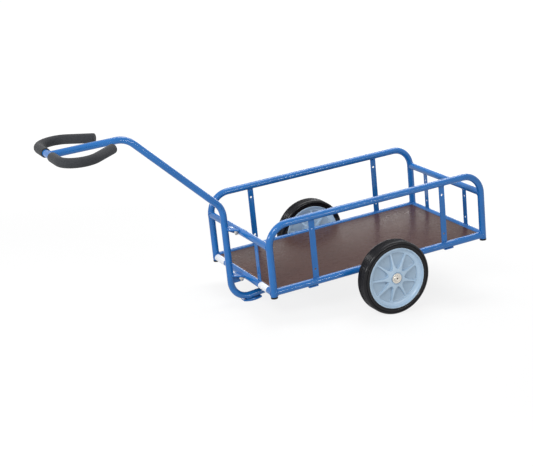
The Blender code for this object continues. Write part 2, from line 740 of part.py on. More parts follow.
def skid_centre():
    """Centre of the skid's own bend, set back a little from the foot's."""
    x, z = foot_centre()
    lowest = z - DRAWBAR_FOOT_R - TUBE_R - SKID_STAND_OFF
    return x - SKID_SET_BACK, lowest + SKID_INNER_R


def skid_run(radius, first_x, last_x):
    """Points along the skid from one reach to another, counted forwards of its centre."""
    x, z = skid_centre()
    first = math.asin(first_x / radius)
    last = math.asin(last_x / radius)
    angles = [first + (last - first) * step / SKID_STEPS for step in range(SKID_STEPS + 1)]
    return [(x + radius * math.sin(angle), z - radius * math.cos(angle)) for angle in angles]


def weld_pad():
    """Top of the skid's middle, which meets the tube's bend and the start of its tail."""
    x, z = foot_centre()
    radius = DRAWBAR_FOOT_R + TUBE_R + SEAT_GAP
    slope = tail_angle()
    tangent = (x - radius * math.sin(slope), z - radius * math.cos(slope))
    rear_x = tangent[0] - PAD_REAR_REACH * math.cos(slope)
    rear = (rear_x, tangent[1] + PAD_REAR_REACH * math.sin(slope))
    front = math.asin(PAD_FRONT_REACH / radius)
    bend = [front * (1 - step / SKID_STEPS) for step in range(SKID_STEPS)]
    return [(x + radius * math.sin(angle), z - radius * math.cos(angle)) for angle in bend] + [tangent, rear]


def add_skid(cart):
    """Bent flat strip that the cart rests on. Its middle is welded to the tube and its ends stand off."""
    pad = weld_pad()
    x = skid_centre()[0]
    outline = skid_run(SKID_INNER_R + SKID_THICKNESS, -SKID_REAR_REACH, SKID_FRONT_REACH)
    outline += skid_run(SKID_INNER_R, SKID_FRONT_REACH, pad[0][0] - x)
    outline += pad
    outline += skid_run(SKID_INNER_R, pad[-1][0] - x, -SKID_REAR_REACH)
    mesh = extruded_mesh("skid", outline, 2 * SKID_HALF_WIDTH)
    add_piece("skid", mesh, "blue_paint", cart, (0, 0, 0), (math.pi / 2, 0, 0))


def add_tail_bracket(cart):
    """Folded bracket round the tail, open above, with an eye in each cheek for the axle."""
    inner = TUBE_R + SEAT_GAP
    outer = inner + CRADLE_WALL
    axle_drop = AXLE_R + SEAT_GAP + TUBE_R
    floor = -axle_drop - inner
    outline = [(inner, CRADLE_RISE), (outer, CRADLE_RISE), (outer, floor - CRADLE_WALL)]
    outline += [(-outer, floor - CRADLE_WALL), (-outer, CRADLE_RISE), (-inner, CRADLE_RISE)]
    outline += [(-inner, floor), (inner, floor)]
    mesh = extruded_mesh("tail_bracket", outline, 2 * CRADLE_HALF_LENGTH)
    turn = Matrix.Rotation(tail_angle(), 3, "Y") @ Matrix.Rotation(math.pi / 2, 3, "Z")
    turn = turn @ Matrix.Rotation(math.pi / 2, 3, "X")
    bracket = add_piece("tail_bracket", mesh, "blue_paint", cart, (0, 0, AXLE_Z), turn.to_euler())
    eye = pin_cutter([(0, 0)], round_about(AXLE_R, AXLE_SIDES), outer + CUT_OVERRUN, AXLE_SIDES)
    place = (0, 0, AXLE_Z)
    cutter = add_piece("axle_cutter", eye, "blue_paint", cart, place, (math.pi / 2, 0, 0))
    change(bracket, cutter, "DIFFERENCE")


def handle_corner():
    return HANDLE_HALF_STRAIGHT + HANDLE_BEND_R * math.tan(HANDLE_TURN / 2)


def arm_end(sign, beyond=0):
    """Place on one arm of the loop, past its tube's end by the given length."""
    reach = HANDLE_BEND_R * math.tan(HANDLE_TURN / 2) + HANDLE_ARM + beyond
    x = HANDLE_X - reach * math.sin(HANDLE_TURN)
    return x, sign * (handle_corner() + reach * math.cos(HANDLE_TURN)), HANDLE_Z


def handle_path(beyond):
    corner = handle_corner()
    corners = [arm_end(-1, beyond), (HANDLE_X, -corner, HANDLE_Z), (HANDLE_X, corner, HANDLE_Z)]
    corners += [arm_end(1, beyond)]
    return rounded_path(corners, [HANDLE_BEND_R, HANDLE_BEND_R])


def add_handle(cart):
    add_piece("handle_loop", tube_mesh("handle_loop", handle_path(0), (0, 0, 1)), "blue_paint", cart)
    for sign in (1, -1):
        add_piece(f"grip_{side_name(sign)}", grip_mesh(sign), "grip_foam", cart)


def grip_mesh(sign):
    """Foam sleeve from beside the drawbar round the bend and over the arm's closed end."""
    corner = (HANDLE_X, sign * handle_corner(), HANDLE_Z)
    start = Vector((HANDLE_X, sign * GRIP_START_Y, HANDLE_Z))
    path = rounded_path([start, corner, arm_end(sign, GRIP_END_THICKNESS)], [HANDLE_BEND_R])
    lining = path[:-1] + [Vector(arm_end(sign, SEAT_GAP))]
    path.insert(1, start + Vector((0, sign * GRIP_EDGE, 0)))
    path.insert(-1, Vector(arm_end(sign, GRIP_END_THICKNESS - GRIP_EDGE)))
    radii = [GRIP_R] * len(path)
    radii[0] = GRIP_R - GRIP_EDGE / 2
    radii[-1] = GRIP_R - GRIP_EDGE
    bm = bmesh.new()
    up = Vector((0, 0, 1))
    bore = round_about(TUBE_R, TUBE_SIDES)
    outer = [ring_of_points(bm, path, spot, up, radius, TUBE_SIDES) for spot, radius in enumerate(radii)]
    inner = [ring_of_points(bm, lining, spot, up, bore, TUBE_SIDES) for spot in range(len(lining))]
    for rings in (outer, inner):
        for first, second in zip(rings, rings[1:]):
            join_rings(bm, first, second)
        bm.faces.new(rings[-1])
    join_rings(bm, outer[0], inner[0])
    return finish_mesh(bm, "grip")


def parked_pitch():
    """Nose-down angle at which the wheels and the skid touch one level floor."""
    skid_r = SKID_INNER_R + SKID_THICKNESS
    x, z = skid_centre()
    span = math.hypot(x, AXLE_Z - z)
    return math.asin((WHEEL_R - skid_r) / span) - math.atan2(AXLE_Z - z, x)


def stand_on_floor(cart):
    """Moves the pitched cart so that the bottom centre of its box is the origin."""
    bpy.context.view_layer.update()
    low = Vector((math.inf,) * 3)
    high = -low
    for piece in bpy.data.objects:
        if piece.type != "MESH":
            continue
        for vertex in piece.data.vertices:
            spot = piece.matrix_world @ vertex.co
            low = Vector(map(min, low, spot))
            high = Vector(map(max, high, spot))
    cart.location = (-(low.x + high.x) / 2, -(low.y + high.y) / 2, -low.z)
    bpy.context.view_layer.update()


def main():
    clear_scene()
    cart = add_empty("cart")
    add_side_hoops(cart)
    add_leg_caps(cart)
    add_side_rails(cart)
    add_end_bars(cart)
    add_side_posts(cart)
    add_end_posts(cart)
    add_deck(cart)
    add_axle(cart)
    add_wheels(cart)
    add_drawbar(cart)
    add_gusset(cart, "drawbar_bracket_upper", FRONT_UPPER_BAR_Z, UPPER_GUSSET_RISE,
               UPPER_WEB_AT_TUBE, UPPER_WEB_AT_BAR)
    add_gusset(cart, "drawbar_bracket_lower", FRONT_LOWER_BAR_Z, LOWER_GUSSET_RISE,
               LOWER_WEB_AT_TUBE, LOWER_WEB_AT_BAR)
    add_skid(cart)
    add_tail_bracket(cart)
    add_handle(cart)
    cart.rotation_euler = (0, parked_pitch(), 0)
    stand_on_floor(cart)


main()
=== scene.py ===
"""Looks of the platform hand cart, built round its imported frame: fine meshes for the bent tubes,
flat bars, wheels, drawbar and grips, with weld beads, bolts and blank labels, and a finish for each
surface. Metres. Shapes are made in the level cart's own frame, which lies pitched as it parks."""

import json
import math
import bmesh
import bpy
from mathutils import Matrix, Vector


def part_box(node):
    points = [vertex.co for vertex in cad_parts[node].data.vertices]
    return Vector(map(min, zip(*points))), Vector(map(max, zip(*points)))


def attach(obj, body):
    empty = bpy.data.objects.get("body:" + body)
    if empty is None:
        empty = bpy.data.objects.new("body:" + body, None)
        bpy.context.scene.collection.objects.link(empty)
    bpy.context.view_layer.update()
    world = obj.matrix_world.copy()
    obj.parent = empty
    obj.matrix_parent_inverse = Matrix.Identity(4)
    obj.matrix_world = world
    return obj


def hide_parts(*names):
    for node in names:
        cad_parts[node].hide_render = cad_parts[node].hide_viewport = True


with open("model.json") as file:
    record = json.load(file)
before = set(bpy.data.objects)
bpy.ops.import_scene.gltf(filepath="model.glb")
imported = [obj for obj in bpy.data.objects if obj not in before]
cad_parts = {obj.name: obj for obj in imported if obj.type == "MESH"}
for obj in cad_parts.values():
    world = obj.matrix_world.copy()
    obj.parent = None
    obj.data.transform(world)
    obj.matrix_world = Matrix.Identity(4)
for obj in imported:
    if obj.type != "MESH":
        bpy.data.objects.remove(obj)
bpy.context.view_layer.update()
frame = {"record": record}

# Clearances
SEAT_GAP = 0.0003
COPE_GAP = 0.0003
RUNNING_GAP = 0.0006

# Frame tube and the places of the frame's centre lines
TUBE_R = 0.014
TUBE_WALL = 0.002
TUBE_SIDES = 40
BEND_STEP = math.radians(3)
TUBE_END_EDGE = 0.0004
LEG_X = 0.487
LEG_Y = 0.269
TOP_RAIL_Z = 0.2895
HOOP_BEND_R = 0.084
SIDE_RAIL_Z = 0.023
FRONT_LOWER_BAR_Z = 0.0215
REAR_LOWER_BAR_Z = 0.023
FRONT_UPPER_BAR_Z = 0.2075
REAR_UPPER_BAR_Z = 0.206
END_BAR_HEIGHTS = {1: (FRONT_LOWER_BAR_Z, FRONT_UPPER_BAR_Z), -1: (REAR_LOWER_BAR_Z, REAR_UPPER_BAR_Z)}

# Foot caps
CAP_THICKNESS = 0.0075
CAP_PLUG_LENGTH = 0.012
CAP_EDGE = 0.0012

# Flat posts
POST_WIDTH = 0.025
POST_THICKNESS = 0.004
POST_EDGE = 0.0007
POST_HOLE_R = 0.0045
SIDE_POST_HOLE_INSET = 0.036
END_POST_TOP_HOLE_INSET = 0.028
END_POST_LOW_HOLE_INSET = 0.033
SIDE_POST_X = 0.299
END_POST_Y = 0.148
HOLE_SIDES = 32

# Deck
BOARD_THICKNESS = 0.021
BOARD_EDGE = 0.0015
FILM_FACE_TILT = 0.97
PLY_LAYER = 0.0016
SUPPORT_X = 0.316
SUPPORT_WIDTH = 0.040
SUPPORT_THICKNESS = 0.005
SUPPORT_OVERHANG = 0.008

# Axle and what holds it
AXLE_Z = -0.0123
AXLE_R = 0.010
AXLE_CHAMFER = 0.0012
BRACKET_THICKNESS = 0.008
BRACKET_TOP_HALF = 0.045
BRACKET_EYE_R = 0.022
EYE_STEPS = 48
SPACER_R = 0.014

# Steps of round forms, and the least cosine that a sharp corner's mitre is reckoned with
ROUND_SIDES = 64
EDGE_STEPS = 4
MITRE_LEAST = 0.3

# Wheels
WHEEL_MID_Y = 0.3508
TYRE_HALF_WIDTH = 0.0282
TYRE_THICKNESS = 0.0262
TYRE_SHOULDER_R = 0.009
TYRE_BEAD_DEPTH = 0.0015
TYRE_BEAD_HEIGHT = 0.005
TYRE_BEAD_EDGE = 0.0006
TYRE_WALL_EASE = 0.0005
TYRE_WALL_DROP = 0.0002
TYRE_SHOULDER_END = math.radians(6)
TYRE_SHOULDER_STEPS = 10
TYRE_SIDES = 144
TREAD_GROOVES = (0.0188, 0.0113, 0.0038)
WALL_GROOVE = 0.0145
GROOVE_HALF = 0.0017
GROOVE_DEPTH = 0.0042
TREAD_CROWN = 0.0022
TREAD_STEPS = 7
# Painted highlight on the tread's crests: how much lighter they are coloured, and over what depth
CREST_PAINTED_HIGHLIGHT = 9.0
CREST_HIGHLIGHT_SPAN = 0.0002
RIM_R = 0.1238
RIM_HALF_WIDTH = 0.0292
RIM_LIP_WIDTH = 0.0030
RIM_LIP_EDGE = 0.0010
RIM_LIP_DROP = 0.0040
LEDGE_INSET = 0.0205
LEDGE_DEPTH = 0.0178
POCKET_INSET = 0.0215
POCKET_FLOOR = 0.0060
POCKET_CORNER_R = 0.0075
# Painted shade: how far the colour of the pockets' floors is darkened
POCKET_PAINTED_SHADE = 0.80
NOTCH_R = 0.0350
HUB_RING_R = 0.0280
HUB_RING_STEP = 0.0015
HUB_GROOVE_INNER = 0.0215
HUB_GROOVE_OUTER = 0.0250
HUB_GROOVE_DEPTH = 0.0038
HUB_EDGE = 0.0004
HUB_HALF_LENGTH = 0.0262
RIB_COUNT = 9
RIB_HALF_TIP = 0.0026
RIB_SLOW_FLARE = 0.0026
RIB_QUICK_FLARE = 0.0076
RIB_QUICK_POWER = 9
RIB_DRAFT = 0.0014
LEFT_RIB_PHASE = math.radians(197.2)
RIGHT_RIB_PHASE = math.radians(17.2)
ARC_STEPS = 16
SIDE_STEPS = 20
BARREL_STEPS = 12
POCKET_CORNER_STEPS = 8
POCKET_RIM_STEPS = 4
POCKET_SPACING = 1.35
JOIN_DISTANCE = 0.00001

# Rows across a pocket: shares of the way to its sector's border, the crest's rounded edge as (inset,
# drop), the fillet at the floor as (inset past the draft, rise), and shares of the way to its middle
CREST_SHARES = (1.0, 0.5, 0.12)
CREST_DROP = 0.00012
CREST_EDGE = ((0.00030, 0.0005), (0.00042, 0.0011))
POCKET_FILLET = ((-0.0004, 0.0012), (0, 0.0005), (0.0010, 0))
FLOOR_SHARES = (0.4, 0.75)

# Pressed cap on each axle end
AXLE_CAP_R = 0.021
AXLE_CAP_FLANGE = 0.0012
AXLE_CAP_DOME_R = 0.0135
AXLE_CAP_HEIGHT = 0.0042
AXLE_CAP_WALL = 0.0010
AXLE_CAP_RING_PLACE = 0.6
DIMPLE_R = 0.0032
DIMPLE_DEPTH = 0.0008
# Painted shade: radius of the dark patch at the cap's dimple
DIMPLE_SHADE_R = DIMPLE_R * 0.8
DIMPLE_CLEAR = SEAT_GAP * 1.2
WHEEL_FACE = WHEEL_MID_Y + HUB_HALF_LENGTH + RUNNING_GAP

# Drawbar
DRAWBAR_X = 0.5475
DRAWBAR_SLOPE_X = 0.854
DRAWBAR_SLOPE_Z = 0.625
DRAWBAR_SLOPE_ANGLE = math.radians(45.3)
DRAWBAR_BEND_R = 0.084
DRAWBAR_KNEE_R = 0.097
DRAWBAR_FOOT_CORNER_Z = -0.0780
DRAWBAR_FOOT_R = 0.073
DRAWBAR_TAIL_OVERRUN = 0.030

# Gusset brackets between the drawbar and the front bars
GUSSET_PLATE = 0.005
GUSSET_WEB = 0.005
GUSSET_EDGE = 0.0007
GUSSET_HALF_AT_TUBE = 0.017
GUSSET_HALF_AT_BAR = 0.034
GUSSET_FALL = 0.0115
GUSSET_WEB_BITE = 0.007
NOTCH_STEPS = 24
UPPER_GUSSET_RISE = 0.0100
UPPER_WEB_AT_TUBE = 0.0150
UPPER_WEB_AT_BAR = -0.0145
LOWER_GUSSET_RISE = 0.0005
LOWER_WEB_AT_TUBE = -0.0265
LOWER_WEB_AT_BAR = -0.0265
GUSSET_SLOPE = math.atan2(GUSSET_FALL, DRAWBAR_X - LEG_X)
GUSSETS = (
    ("upper", FRONT_UPPER_BAR_Z, UPPER_GUSSET_RISE, UPPER_WEB_AT_TUBE, UPPER_WEB_AT_BAR),
    ("lower", FRONT_LOWER_BAR_Z, LOWER_GUSSET_RISE, LOWER_WEB_AT_TUBE, LOWER_WEB_AT_BAR),
)

# Skid under the drawbar's foot
SKID_THICKNESS = 0.006
SKID_HALF_WIDTH = 0.015
SKID_INNER_R = 0.130
SKID_STAND_OFF = 0.0035
SKID_SET_BACK = 0.0125
SKID_FRONT_REACH = 0.043
SKID_REAR_REACH = 0.037
SKID_EDGE = 0.0006
SKID_STEPS = 16
PAD_FRONT_REACH = 0.016
PAD_REAR_REACH = 0.014

# Folded bracket at the drawbar's tail
CRADLE_HALF_LENGTH = 0.026
CRADLE_WALL = 0.004
CRADLE_RISE = 0.016
CRADLE_EDGE = 0.0006
CRADLE_BEND_STEPS = 6

# Handle loop and grips
HANDLE_X = 1.2073
HANDLE_Z = 0.6767
HANDLE_BEND_R = 0.0777
HANDLE_HALF_STRAIGHT = 0.1114
HANDLE_TURN = math.radians(129.1)
HANDLE_ARM = 0.106
GRIP_R = 0.0190
GRIP_START_Y = 0.037
GRIP_END_THICKNESS = 0.008
GRIP_START_EDGE = 0.004
GRIP_END_EDGE = 0.006
GRIP_ROLL_STEPS = 8

# Weld beads
BEAD_R = 0.0022
BEAD_RIPPLE = 0.0020
BEAD_RIPPLE_SHARE = 0.10
BEAD_STEP = 0.0007
BEAD_SIDES = 8
BEAD_LEAST_STEPS = 4
BEAD_TIP_SHARE = 0.04
SEAM_OFFSET = BEAD_R * 0.2
FILLET_OFFSET = BEAD_R * 0.35
SKID_BEAD_OFFSET = BEAD_R * 0.4
SKID_BEAD_LEAN = math.radians(48)
SKID_BEAD_STEPS = 12
GUSSET_BEAD_SHARE = 0.85
HANDLE_SEAM_GROWTH = 1.03

# Bolts at the gussets
BOLT_R = 0.005
WASHER_R = 0.0102
WASHER_THICKNESS = 0.0018
NUT_ACROSS_FLATS = 0.016
NUT_HEIGHT = 0.0075
BOLT_TAIL = 0.007
BOLT_GAP = 0.0001
BOLT_SIDES = 32
NUT_CHAMFER = 0.0008
THREAD_TURNS = 8
THREAD_DEPTH = 0.0007
THREAD_CREST = 0.0006
THREAD_EASE = 0.0002
BOLT_X = 0.5065
BOLT_Y = 0.0205

# Blank labels on the front lower bar
LABEL_THICKNESS = 0.00015
LABEL_FROM = math.radians(-42)
LABEL_TO = math.radians(104)
LABEL_SPANS = ((-0.2505, -0.166), (0.158, 0.226))
LABEL_STEPS = 18

# Patterns of the finishes: spans of a pattern's value over which colour and roughness change
TINT_SPAN = (0.35, 0.65)
GLOSS_SPAN = (0.3, 0.7)
SPECK_SHARE = 0.55

# Camera
CAMERA_AIM = Vector((0.36844904, 0, 0.16764118))
CAMERA_DISTANCE = 5.464801549
CAMERA_AZIMUTH = math.radians(65.342235)
CAMERA_ELEVATION = math.radians(19.013947)
CAMERA_ROLL = math.radians(-6.033814)
CAMERA_LENS = 91.636662

# Floor, whose glow rises from near the cart to far from it
FLOOR_HALF = 20.0
FLOOR_SHADE = 0.155
FLOOR_LIFT = 0.84
FLOOR_LIFT_FAR = 0.98
FLOOR_BOUNCE = 0.5
FLOOR_NEAR = 1.3
FLOOR_FAR = 3.2

# Light; each soft box has a place, the direction of its length, its length, width and power
WORLD_LIGHT = 0.33
LIGHT_AIM = Vector((0, 0, 0.2))
SOFT_BOXES = (
    ("overhead_box", (-1.3, -1.0, 3.0), (1, 0, 0), 2.8, 1.7, 72),
    ("low_box", (-2.6, 6.0, 1.25), (1, 0, 0), 1.9, 0.35, 54),
    ("key_box", (2.2, 2.4, 2.5), (0.74, -0.68, 0), 1.8, 0.5, 62),
    ("front_box", (3.3, 0.4, 1.2), (0, 1, 0), 1.6, 0.5, 36),
    ("back_box", (-3.4, -5.8, 0.9), (0.86, -0.51, 0), 3.6, 0.8, 34),
)

# Turns of a plate drawn in local XY: upright along the cart, and upright across it
UPRIGHT = Matrix.Rotation(math.pi / 2, 4, "X")
ACROSS = Matrix.Rotation(math.pi / 2, 4, "Z") @ UPRIGHT


def cart_place():
    """Where the level cart's own frame lies: pitched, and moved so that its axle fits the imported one."""
    deck = next(mount for mount in frame["record"]["mounts"] if mount["name"] == "deck_top")
    axis = Vector(deck["axis"])
    pitch = Matrix.Rotation(math.atan2(axis.x, axis.z), 4, "Y")
    low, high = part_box("axle")
    return Matrix.Translation((low + high) / 2 - pitch @ Vector((0, 0, AXLE_Z))) @ pitch


CART = cart_place()


# Node trees of the finishes

def new_finish(name, roughness=0.5, specular=0.5, metallic=0.0):
    """A material with its tree and shader."""
    made = bpy.data.materials.new(name)
    made.use_nodes = True
    shader = made.node_tree.nodes["Principled BSDF"]
    for socket, value in (("Roughness", roughness), ("Specular IOR Level", specular), ("Metallic", metallic)):
        shader.inputs[socket].default_value = value
    return made, made.node_tree, shader


def own_place(tree):
    """Position in the piece's own coordinates."""
    return tree.nodes.new("ShaderNodeTexCoord").outputs["Object"]


def level_place(tree, stretch=(1, 1, 1)):
    """The same along the level cart's axes, each stretched by its own factor."""
    mapping = tree.nodes.new("ShaderNodeMapping")
    mapping.inputs["Rotation"].default_value = CART.inverted().to_euler()
    mapping.inputs["Scale"].default_value = stretch
    tree.links.new(own_place(tree), mapping.inputs["Vector"])
    return mapping.outputs["Vector"]


def calculated(tree, kind, operation, *values):
    """The outputs of a math node that is fed with sockets or plain values."""
    node = tree.nodes.new(kind)
    node.operation = operation
    for socket, value in zip(node.inputs, values):
        if isinstance(value, bpy.types.NodeSocket):
            tree.links.new(value, socket)
        else:
            socket.default_value = value
    return node.outputs


def mapped(tree, value, span, low, high):
    """A value's span turned into the range from low to high."""
    spread = tree.nodes.new("ShaderNodeMapRange")
    numbers = (("From Min", span[0]), ("From Max", span[1]), ("To Min", low), ("To Max", high))
    for socket, number in numbers:
        spread.inputs[socket].default_value = number
    tree.links.new(value, spread.inputs["Value"])
    return spread.outputs["Result"]


def noise(tree, scale, detail=3.0, roughness=0.55, stretch=(1, 1, 1)):
    """Noise along the cart's axes; the scale counts per metre."""
    texture = tree.nodes.new("ShaderNodeTexNoise")
    for socket, value in (("Scale", scale), ("Detail", detail), ("Roughness", roughness)):
        texture.inputs[socket].default_value = value
    tree.links.new(level_place(tree, stretch), texture.inputs["Vector"])
    return texture.outputs["Fac"]


def tint(tree, shader, factor, low_color, high_color, painted_light_scale=None):
    """Base colour between two, by a pattern's value and, where one is given, scaled by a factor that paints
    in shade and highlight.
    """
    ramp = tree.nodes.new("ShaderNodeValToRGB")
    for element, spot, color in zip(ramp.color_ramp.elements, TINT_SPAN, (low_color, high_color)):
        element.position = spot
        element.color = (*color, 1)
    tree.links.new(factor, ramp.inputs["Fac"])
    color = ramp.outputs["Color"]
    if painted_light_scale:
        color = calculated(tree, "ShaderNodeVectorMath", "SCALE", color)["Vector"]
        tree.links.new(painted_light_scale, color.node.inputs["Scale"])
    tree.links.new(color, shader.inputs["Base Color"])


def gloss(tree, shader, factor, low, high):
    """Roughness between two values, by a pattern's value."""
    tree.links.new(mapped(tree, factor, GLOSS_SPAN, low, high), shader.inputs["Roughness"])


def add_bump(tree, shader, height, depth):
    bump = tree.nodes.new("ShaderNodeBump")
    bump.inputs["Distance"].default_value = depth
    bump.inputs["Strength"].default_value = 1.0
    tree.links.new(height, bump.inputs["Height"])
    tree.links.new(bump.outputs["Normal"], shader.inputs["Normal"])


def blue_paint():
    """Glossy blue powder coat with a faint orange peel."""
    made, tree, shader = new_finish("blue_paint", specular=0.4)
    tint(tree, shader, noise(tree, 9), (0.0075, 0.134, 0.43), (0.0115, 0.156, 0.485))
    gloss(tree, shader, noise(tree, 60), 0.15, 0.18)
    shader.inputs["Coat Weight"].default_value = 0.1
    shader.inputs["Coat Roughness"].default_value = 0.12
    add_bump(tree, shader, noise(tree, 400, 2.0), 0.0000008)
    return made


def deck_film():
    """Dark brown film on plywood: a fine pressed grain, soft reflections and light handling marks."""
    made, tree, shader = new_finish("deck_film", specular=0.07)
    grain = noise(tree, 30, 6.0, 0.7, stretch=(1, 6, 1))
    speck = noise(tree, 420, 4.0, 0.75)
    grain_share = calculated(tree, "ShaderNodeMath", "MULTIPLY", grain, 1 - SPECK_SHARE)["Value"]
    mix = calculated(tree, "ShaderNodeMath", "MULTIPLY_ADD", speck, SPECK_SHARE, grain_share)["Value"]
    tint(tree, shader, mix, (0.061, 0.0295, 0.024), (0.094, 0.0495, 0.0425))
    gloss(tree, shader, noise(tree, 45), 0.24, 0.34)
    add_bump(tree, shader, speck, 0.00003)
    return made


def ply_edge():
    """Sawn edge of the plywood: thin orange-brown layers, every other one darker."""
    made, tree, shader = new_finish("ply_edge", roughness=0.6)
    wave = tree.nodes.new("ShaderNodeTexWave")
    wave.bands_direction = "Z"
    wave.inputs["Scale"].default_value = math.pi / (10 * PLY_LAYER)
    wave.inputs["Distortion"].default_value = 0.6
    wave.inputs["Detail"].default_value = 2
    tree.links.new(level_place(tree), wave.inputs["Vector"])
    tint(tree, shader, wave.outputs["Fac"], (0.16, 0.065, 0.03), (0.36, 0.17, 0.075))
    add_bump(tree, shader, wave.outputs["Fac"], 0.0001)
    return made


def rim_plastic():
    """Satin pale blue-grey moulded plastic, its colour darkened on the pockets' floors as painted shade."""
    made, tree, shader = new_finish("rim_plastic")
    split = tree.nodes.new("ShaderNodeSeparateXYZ")
    tree.links.new(own_place(tree), split.inputs["Vector"])
    height = calculated(tree, "ShaderNodeMath", "ABSOLUTE", split.outputs["Y"])["Value"]
    # Painted shade: the colour falls towards the pockets' floors, by height from the wheel's mid-plane
    painted_light_scale = mapped(tree, height, (POCKET_FLOOR, 2 * POCKET_FLOOR), POCKET_PAINTED_SHADE, 1.0)
    tint(tree, shader, noise(tree, 40), (0.445, 0.597, 0.755), (0.485, 0.637, 0.790), painted_light_scale)
    gloss(tree, shader, noise(tree, 130), 0.26, 0.34)
    add_bump(tree, shader, noise(tree, 1500, 2.0), 0.000008)
    return made


def tyre_rubber():
    """Black rubber with a faint moulded grain and dull scuffs, and a painted highlight that lightens the
    tread's crests.
    """
    made, tree, shader = new_finish("tyre_rubber", specular=0.26)
    flat = calculated(tree, "ShaderNodeVectorMath", "MULTIPLY", own_place(tree), (1, 0, 1))["Vector"]
    radius = calculated(tree, "ShaderNodeVectorMath", "LENGTH", flat)["Value"]
    crest_r = RIM_R + TYRE_THICKNESS
    # Painted highlight: the colour grows lighter over the outermost part of the tread's crests
    painted_light_scale = mapped(tree, radius, (crest_r - CREST_HIGHLIGHT_SPAN, crest_r), 1.0, CREST_PAINTED_HIGHLIGHT)
    tint(tree, shader, noise(tree, 35, 5.0), (0.004, 0.004, 0.006), (0.007, 0.007, 0.009), painted_light_scale)
    gloss(tree, shader, noise(tree, 80, 5.0), 0.16, 0.24)
    add_bump(tree, shader, noise(tree, 900, 3.0), 0.000015)
    return made


def grip_foam():
    """Matt closed-cell foam with fine pores."""
    made, tree, shader = new_finish("grip_foam", roughness=0.85, specular=0.35)
    shader.inputs["Sheen Weight"].default_value = 0.08
    tint(tree, shader, noise(tree, 160, 4.0), (0.020, 0.022, 0.026), (0.032, 0.034, 0.039))
    pores = tree.nodes.new("ShaderNodeTexVoronoi")
    pores.inputs["Scale"].default_value = 900
    tree.links.new(own_place(tree), pores.inputs["Vector"])
    add_bump(tree, shader, pores.outputs["Distance"], 0.0002)
    return made


def cap_plastic():
    """Dull black plastic."""
    made, tree, shader = new_finish("cap_plastic", specular=0.1)
    tint(tree, shader, noise(tree, 200), (0.010, 0.010, 0.011), (0.020, 0.020, 0.021))
    add_bump(tree, shader, noise(tree, 1200), 0.00006)
    return made


def zinc():
    """Pale zinc plate with faint warm clouding."""
    made, tree, shader = new_finish("zinc", metallic=1.0)
    tint(tree, shader, noise(tree, 220, 4.0), (0.54, 0.515, 0.47), (0.62, 0.585, 0.53))
    gloss(tree, shader, noise(tree, 400), 0.26, 0.46)
    add_bump(tree, shader, noise(tree, 1500), 0.00001)
    return made


def label_paper():
    """Blank white label stock, slightly glossy."""
    made, tree, shader = new_finish("label_paper", roughness=0.35)
    tint(tree, shader, noise(tree, 90), (0.83, 0.855, 0.90), (0.885, 0.905, 0.94))
    add_bump(tree, shader, noise(tree, 300), 0.00004)
    return made


FINISH_MAKERS = (blue_paint, deck_film, ply_edge, rim_plastic, tyre_rubber, grip_foam, cap_plastic,
                 zinc, label_paper)
FINISHES = {maker.__name__: maker() for maker in FINISH_MAKERS}


# Meshes

def at(x, y, z):
    return Matrix.Translation((x, y, z))


def linked(name, data):
    """A new object in the scene."""
    made = bpy.data.objects.new(name, data)
    bpy.context.scene.collection.objects.link(made)
    return made


def add_piece(name, bm, finish, stands_for=(), body="frame", place=Matrix.Identity(4), sharp=35):
    """One named piece placed in the cart's frame, riding on its body, in place of the given nodes."""
    whole = CART @ place
    origin = Matrix.Translation(CART.translation if body == "frame" else whole.translation)
    bm.transform(origin.inverted() @ whole)
    bmesh.ops.recalc_face_normals(bm, faces=bm.faces)
    mesh = bpy.data.meshes.new(name)
    bm.to_mesh(mesh)
    bm.free()
    mesh.shade_smooth()
    mesh.set_sharp_from_angle(angle=math.radians(sharp))
    mesh.materials.append(FINISHES[finish])
    piece = linked(name, mesh)
    piece.matrix_world = origin
    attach(piece, body)
    if stands_for:
        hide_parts(*stands_for)
    return piece


def add_fine(name, bm, finish="blue_paint", body="frame", place=Matrix.Identity(4), sharp=35):
    """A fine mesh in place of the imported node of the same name."""
    return add_piece("fine_" + name, bm, finish, [name], body, place, sharp)


def around(sides):
    """Angles spread evenly over a whole turn."""
    return [2 * math.pi * step / sides for step in range(sides)]


def quarter(steps):
    """Angles over a quarter turn, both ends included."""
    return [math.pi / 2 * step / steps for step in range(steps + 1)]


def join_rings(bm, first, second):
    """Faces between two rings; a ring of one point is a pole."""
    count = max(len(first), len(second))
    for step in range(count):
        after = (step + 1) % count
        corners = [first[step % len(first)], first[after % len(first)]]
        corners += [second[after % len(second)], second[step % len(second)]]
        bm.faces.new(list(dict.fromkeys(corners)))


def join_run(bm, rings):
    for first, second in zip(rings, rings[1:]):
        join_rings(bm, first, second)


def rounded_path(corners, bend_radii, step_angle=BEND_STEP):
    """Points of a line through the corners, each inner corner turned on its bend radius."""
    points = [Vector(corners[0])]
    for before, corner, after, radius in zip(corners, corners[1:], corners[2:], bend_radii):
        corner = Vector(corner)
        back = (Vector(before) - corner).normalized()
        ahead = (Vector(after) - corner).normalized()
        turn = math.pi - back.angle(ahead)
        centre = corner + (back + ahead).normalized() * (radius / math.cos(turn / 2))
        spoke = corner + back * (radius * math.tan(turn / 2)) - centre
        axis = spoke.cross(-back).normalized()
        steps = max(2, math.ceil(turn / step_angle))
        for index in range(steps + 1):
            points.append(centre + Matrix.Rotation(turn * index / steps, 3, axis) @ spoke)
    points.append(Vector(corners[-1]))
    return points


